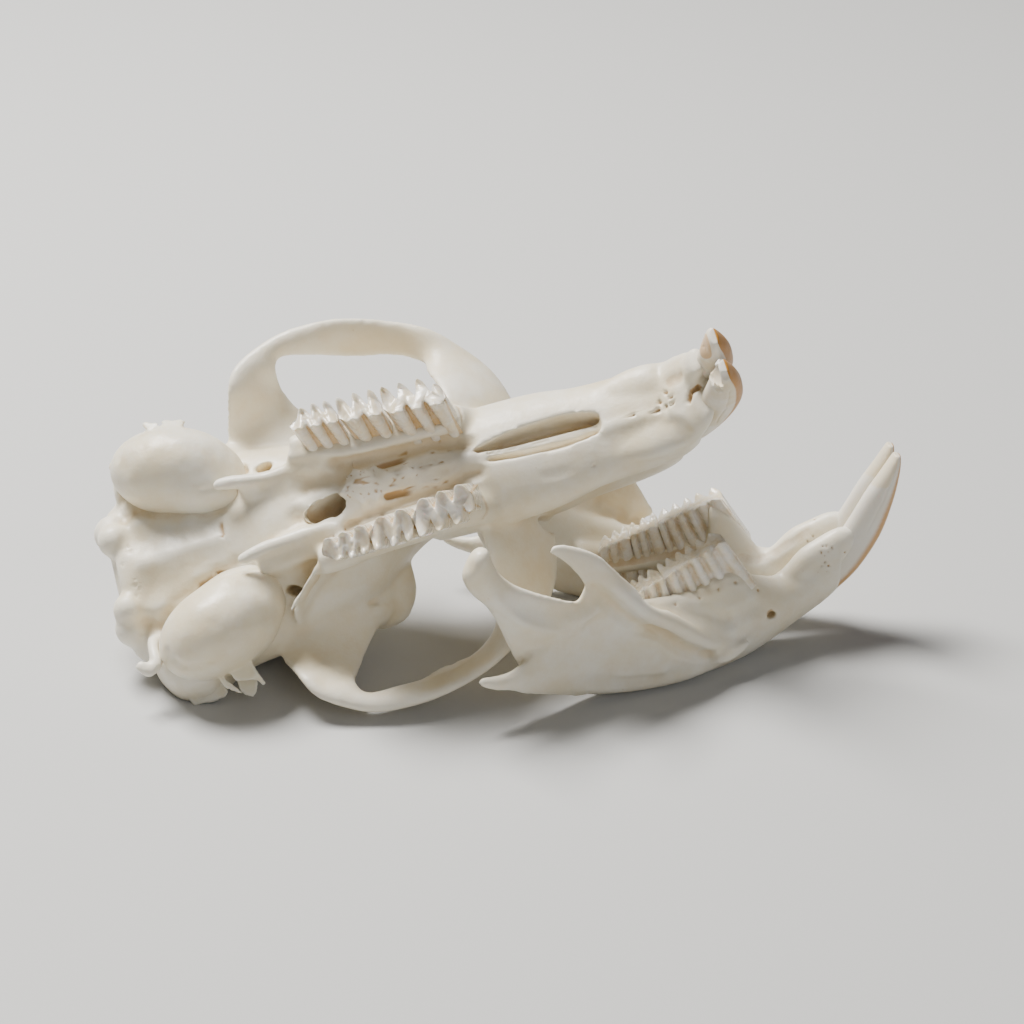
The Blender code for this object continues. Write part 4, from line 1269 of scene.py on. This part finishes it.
# Lower jaw halves: X forward from the condyle, Y out from the middle, Z up from the lower edge
jawBone = {
    "beam": (
        (10.5, 10.6, 6.8, 0.9, 4.6), (14, 9.7, 5.7, 1.3, 5.2), (18, 8.5, 5, 2, 5),
        (22, 7.3, 4.6, 2.6, 4.8), (26, 6, 4.5, 2.8, 4.8), (29.5, 4.8, 4.9, 2.7, 4.9),
        (32, 3.7, 4.6, 2.5, 4.2), (34.5, 2.9, 4.8, 2.4, 3.2), (37, 2.2, 5.6, 2, 2.8),
        (39.4, 1.95, 7.3, 1.9, 3), (40.9, 1.9, 8.4, 1.75, 2.7),
    ),
    "frontBlade": (
        ((15.5, 9.9, 8), (6, 0, 0), (0, 0.8, 0)), ((15.1, 10.3, 11.3), (3.6, 0, 0.6), (0, 0.75, 0)),
        ((14.5, 10.8, 14), (1.8, 0, 0.6), (0, 0.7, 0)),
        ((12.8, 11.2, 16.4), (1.2, 0, 0.8), (0, 0.6, 0)),
        ((10.6, 11.4, 17.9), (0.5, 0, 0.7), (0, 0.45, 0)),
        ((9.3, 11.5, 18.3), (0.1, 0, 0.4), (0, 0.3, 0)),
    ),
    "jointArm": (
        ((11, 10.7, 8.2), (4.4, 0, 3.4), (0, 0.9, 0)), ((8.3, 11.2, 10), (2.9, 0, 2.5), (0, 0.8, 0)),
        ((5.2, 11.7, 13.3), (1.7, 0, 1.1), (0, 0.85, 0)),
        ((3.3, 12, 15.2), (1.65, 0, 0.7), (0, 0.95, 0)),
        ((2.4, 12.1, 16.8), (1.6, 0, 0.5), (0, 1.2, 0)),
        ((2.35, 12.1, 18), (1.25, 0, 0.4), (0, 1.3, 0)),
        ((2.6, 12.1, 19), (0.8, 0, 0.1), (0, 1, 0)), ((2.7, 12.1, 19.3), (0.4, 0, 0.05), (0, 0.5, 0)),
    ),
    "leftBlade": (
        ((19, 9.8, 8.5), (5.5, 0, 0.5), (0, 0.7, 0)), ((18, 10.2, 11.5), (4.6, 0, 1), (0, 0.65, 0)),
        ((16.5, 10.6, 14.3), (3.6, 0, 1.2), (0, 0.6, 0)),
        ((14.5, 11, 16.4), (2.4, 0, 1.2), (0, 0.5, 0)),
        ((12.3, 11.2, 17.6), (1.2, 0, 0.8), (0, 0.4, 0)),
    ),
    "leftWall": (
        (28.6, 3.4, 10.4, 1, 3), (30.6, 3.3, 9.4, 1.1, 2.8), (32.4, 3.1, 8, 1, 2.2),
        (33.9, 2.8, 6.8, 0.8, 1.4),
    ),
    "rearPoint": (
        ((13, 10.4, 4.6), (0, 0, 3.8), (0, 0.8, 0)), ((9.4, 11.4, 5), (0, 0, 3), (0.2, 0.75, 0)),
        ((6.8, 12.3, 4.9), (0, 0, 1.9), (0.2, 0.7, 0)), ((5.4, 12.8, 4.95), (0, 0, 1.1), (0.2, 0.6, 0)),
        ((3.7, 13.3, 5.2), (0, 0, 0.8), (0.2, 0.55, 0)), ((2.4, 13.6, 5.6), (0, 0, 0.5), (0.1, 0.45, 0)),
        ((2.1, 13.7, 5.65), (0, 0, 0.25), (0.05, 0.25, 0)),
    ),
    "frontRidge": (
        (12.4, 11.2, 16.9, 0.4), (16.3, 10.8, 12.8, 0.75), (19, 10.3, 10, 0.95), (21.8, 9.7, 8, 1),
        (24.5, 9, 5.7, 1), (27, 8.2, 4.2, 0.85), (29.4, 7.1, 3.5, 0.55),
    ),
    "jointRidge": (
        (2.4, 12.6, 17.2, 0.8), (5.1, 12.2, 12.6, 0.6), (8.1, 11.9, 10.1, 0.55), (12.7, 10.9, 8.6, 0.45),
    ),
    "knob": ((25.4, 8.4, 2.6, 0.4), (27.4, 8.8, 2.8, 0.6), (29, 8.4, 3.2, 0.5), (30.4, 7.8, 3.9, 0.3)),
    "lowerRidge": (
        (9, 11.4, 3.6, 0.6), (16, 10, 1.4, 0.7), (24, 8.4, 1.3, 0.8), (30, 6.4, 2.5, 0.6),
    ),
    "toothShelf": (
        (15.6, 6.8, 6.2, 1.6, 1.4), (20, 6.6, 6, 1.9, 2), (24, 6, 6.6, 1.9, 2.3),
        (28, 5.2, 8, 1.8, 2.6), (30.3, 4.5, 8.3, 1.5, 2),
    ),
    "toothWall": (
        (27.6, 3.6, 10, 0.9, 2.9), (29.4, 3.5, 9, 0.9, 2.6), (31, 3.4, 7.6, 0.8, 1.9),
        (32.2, 3, 6.6, 0.6, 1),
    ),
    "ledge": ((17, 5.3, 5.4, 0.7), (20.1, 4.7, 6.1, 0.8), (24.6, 4, 7, 0.8), (28.5, 3.1, 8, 0.8)),
    "neck": (
        (33, 2.3, 5.4, 1.3, 1.8), (35, 2.2, 6.2, 1.3, 2.2), (37, 2.1, 8.1, 1.4, 2.4),
        (39, 1.9, 9.3, 1.4, 2.35), (40.6, 1.8, 10.2, 1.3, 2.2), (42, 1.7, 11, 1.05, 1.5),
        (42.6, 1.6, 11.4, 0.7, 0.8),
    ),
    "chinHole": (
        ((33.1, 7.2, 5.7), (0.55, 0, 0.1), (-0.05, 0, 0.38)),
        ((33.3, 4.2, 4.9), (0.45, 0, 0.1), (-0.05, 0, 0.32)),
    ),
    # a thin gap along the middle keeps the halves apart
    "gapCentre": (34, 0, 8),
    "gapSize": (40, 0.16, 40),
    "firstGrain": 0.3,
    "smoothing": 6,
    "grain": 0.18,
    "triangles": 120000,
}
jawStrokes = (
    # hollow above the biting muscle's ridge, the groove under it, and the dished plate behind
    (((18.5, 8.8, 11.4), (21.5, 8.6, 9.6), (24.5, 8.3, 7.9), (28, 7, 6.2)), 1.5, 0.5),
    (((13.6, 10.9, 13.6), (15.6, 11, 11.2), (18.1, 10.6, 8.5), (20.7, 9.8, 6.9), (23.3, 9.5, 4.6),
      (25.8, 8.7, 3.1)), 1.2, 0.5),
    (((8, 12, 6.5), (12, 11.4, 6.4), (16.5, 10.6, 5.4), (20, 9.9, 4.4)), 2.4, 0.3),
    (((7, 12, 12.6), (10, 11.8, 11.4), (13, 11.4, 11.6)), 1.6, 0.22),
    (((16.3, 10.5, 3.3), (21.2, 9.7, 2.5)), 0.8, -0.16),
    (((1.4, 13.2, 17.9),), 1, 0.12),
    (((28.8, 6.9, 6.6), (31.6, 6, 6.6)), 1.4, 0.2),
    (((33.1, 5.9, 5.5),), 0.75, 0.1, 0.5),
    # the inner side, under the teeth, and the gap in front of them, stained darker, partly as painted shade
    (((17, 4.8, 6), (20.1, 4.2, 6.8), (24.6, 3.4, 7.8), (28.5, 2.6, 9)), 0.8, 0.05, 0.34),
    (((32, 2.2, 7.6), (33.4, 2, 7.2), (36, 1.6, 8.6), (38.6, 1.2, 10.6)), 0.8, 0.12, 0.26),
    (((24.4, 7, 8.9), (28.3, 6.9, 10.3), (30.2, 6, 9.8)), 0.5, 0.06, 0.2),
)
# small holes darkened with stain and painted shade
jawHoles = {
    "places": ((22.6, 7.4, 8.6), (25.4, 7.3, 9.2), (27.2, 7.1, 9.8), (29.4, 6.4, 10), (31.4, 4.6, 7.6)),
    "radius": 0.3,
    "depth": 0.2,
    "stain": 0.45,
}
jawScatter = (
    # pits round the front tooth's socket, stained and partly painted shade, and an uneven surface
    (40, ((38.4, 41.4), (0.6, 3.4), (8, 11.4)), (0.12, 0.26), 0.16, (0.35, 0.7)),
    (30, ((4, 34), (7, 12), (3, 10)), (1, 2.4), (-0.09, 0.09)),
)


def drawJaw(shape, side):
    addParts(shape, jawBone, ("beam", "toothShelf", "neck"), side)
    addParts(shape, jawBone, ("leftWall", "leftBlade") if side > 0 else ("toothWall",), side)
    addParts(shape, jawBone, ("frontBlade", "jointArm", "rearPoint"), side)
    addParts(shape, jawBone, ("frontRidge", "jointRidge", "knob", "lowerRidge", "ledge"), side)


def drawMiddle(shape):
    place = Matrix.Translation(jawBone["gapCentre"]) @ Matrix.Diagonal((*jawBone["gapSize"], 1))
    bmesh.ops.create_cube(shape, size=1, matrix=place)


def carveJaw(made, side):
    skin = openSkin(made)
    strokes(skin, jawStrokes, side)
    for spot in jawHoles["places"]:
        stroke(skin, (spot,), jawHoles["radius"], jawHoles["depth"], jawHoles["stain"], side)
    for values in jawScatter:
        scatter(skin, *values, side=side)
    closeSkin(made, skin)


def buildJaw():
    turn = math.radians(pose["jawTurn"])
    forward = Vector((math.cos(turn), math.sin(turn), 0))
    left = Vector((-math.sin(turn), math.cos(turn), 0))
    room = placeOf(forward, left, pose["jawPlace"])
    hinge = Matrix.Translation(pose["chinHinge"])
    swing = hinge @ Matrix.Rotation(-math.radians(pose["leftHalfSpread"]), 4, "Z") @ hinge.inverted()
    boneSurface = makeSurface("jaw bone", boneLook)
    molarSurface = makeSurface("lower molar enamel", molarLook)
    incisorSurface = makeSurface("lower front enamel", lowerIncisorLook)
    for side, name in sides.items():
        place = room @ swing if side > 0 else room
        half = drawn("jaw", drawJaw, side)
        fuse(half, jawBone["firstGrain"], jawBone["smoothing"])
        hole = drawn("hole", loft, jawBone["chinHole"], side, fineness["holeSteps"])
        combine(half, [drawn("middle", drawMiddle), hole], "DIFFERENCE")
        fuse(half, jawBone["grain"], 2)
        thinOut(half, jawBone["triangles"])
        carveJaw(half, side)
        finish(half, "jaw_half_" + name, boneSurface, place, ("jaw_" + name,))
        buildIncisor("lower_front_tooth_" + name, lowerIncisor, side, incisorSurface, place,
                     ("lower_incisor_" + name,))
        buildRow("lower_molar_" + name, lowerMolars, side, molarSurface, place)
    print("jaw done")


studio = {
    "camera": (0.00173, -0.21025, 0.1272),
    "cameraDown": 28,       # degrees
    "lens": 84.375,
    "sensor": 36,
    "nearest": 0.01,
    "floorSize": 3,
    "floorColour": (0.50, 0.50, 0.49, 1),
    "floorRough": 0.7,
    # place, size, power and colour; both look at the same spot
    "key": ((-0.20, 0.16, 0.46), 0.22, 8, (1, 0.98, 0.95)),
    "fill": ((0.30, -0.55, 0.40), 0.5, 1.2, (0.95, 0.97, 1)),
    "lit": (0, 0, 0.015),
    "sky": 0.09,
    "skyColour": (0.95, 0.96, 1, 1),
}


def areaLight(name):
    place, size, power, colour = studio[name]
    light = bpy.data.lights.new(name, "AREA")
    light.shape = "SQUARE"
    light.size = size
    light.energy = power
    light.color = colour
    made = bpy.data.objects.new(name, light)
    bpy.context.scene.collection.objects.link(made)
    made.location = place
    made.rotation_euler = (Vector(studio["lit"]) - Vector(place)).to_track_quat("-Z", "Y").to_euler()


def buildStudio():
    shape = bmesh.new()
    bmesh.ops.create_grid(shape, x_segments=2, y_segments=2, size=studio["floorSize"] / 2)
    floor = meshObject("floor", shape)
    surface = bpy.data.materials.new("floor")
    surface.use_nodes = True
    shader = surface.node_tree.nodes["Principled BSDF"]
    shader.inputs["Base Color"].default_value = studio["floorColour"]
    shader.inputs["Roughness"].default_value = studio["floorRough"]
    floor.data.materials.append(surface)
    areaLight("key")
    areaLight("fill")
    world = bpy.data.worlds.new("studio")
    world.use_nodes = True
    back = world.node_tree.nodes["Background"]
    back.inputs["Color"].default_value = studio["skyColour"]
    back.inputs["Strength"].default_value = studio["sky"]
    bpy.context.scene.world = world
    camera = bpy.data.objects.new("camera", bpy.data.cameras.new("camera"))
    bpy.context.scene.collection.objects.link(camera)
    camera.data.lens = studio["lens"]
    camera.data.sensor_width = studio["sensor"]
    camera.data.clip_start = studio["nearest"]
    camera.location = studio["camera"]
    camera.rotation_euler = (math.radians(90 - studio["cameraDown"]), 0, 0)
    bpy.context.scene.camera = camera
    print("studio done")


buildCranium()
buildJaw()
buildStudio()
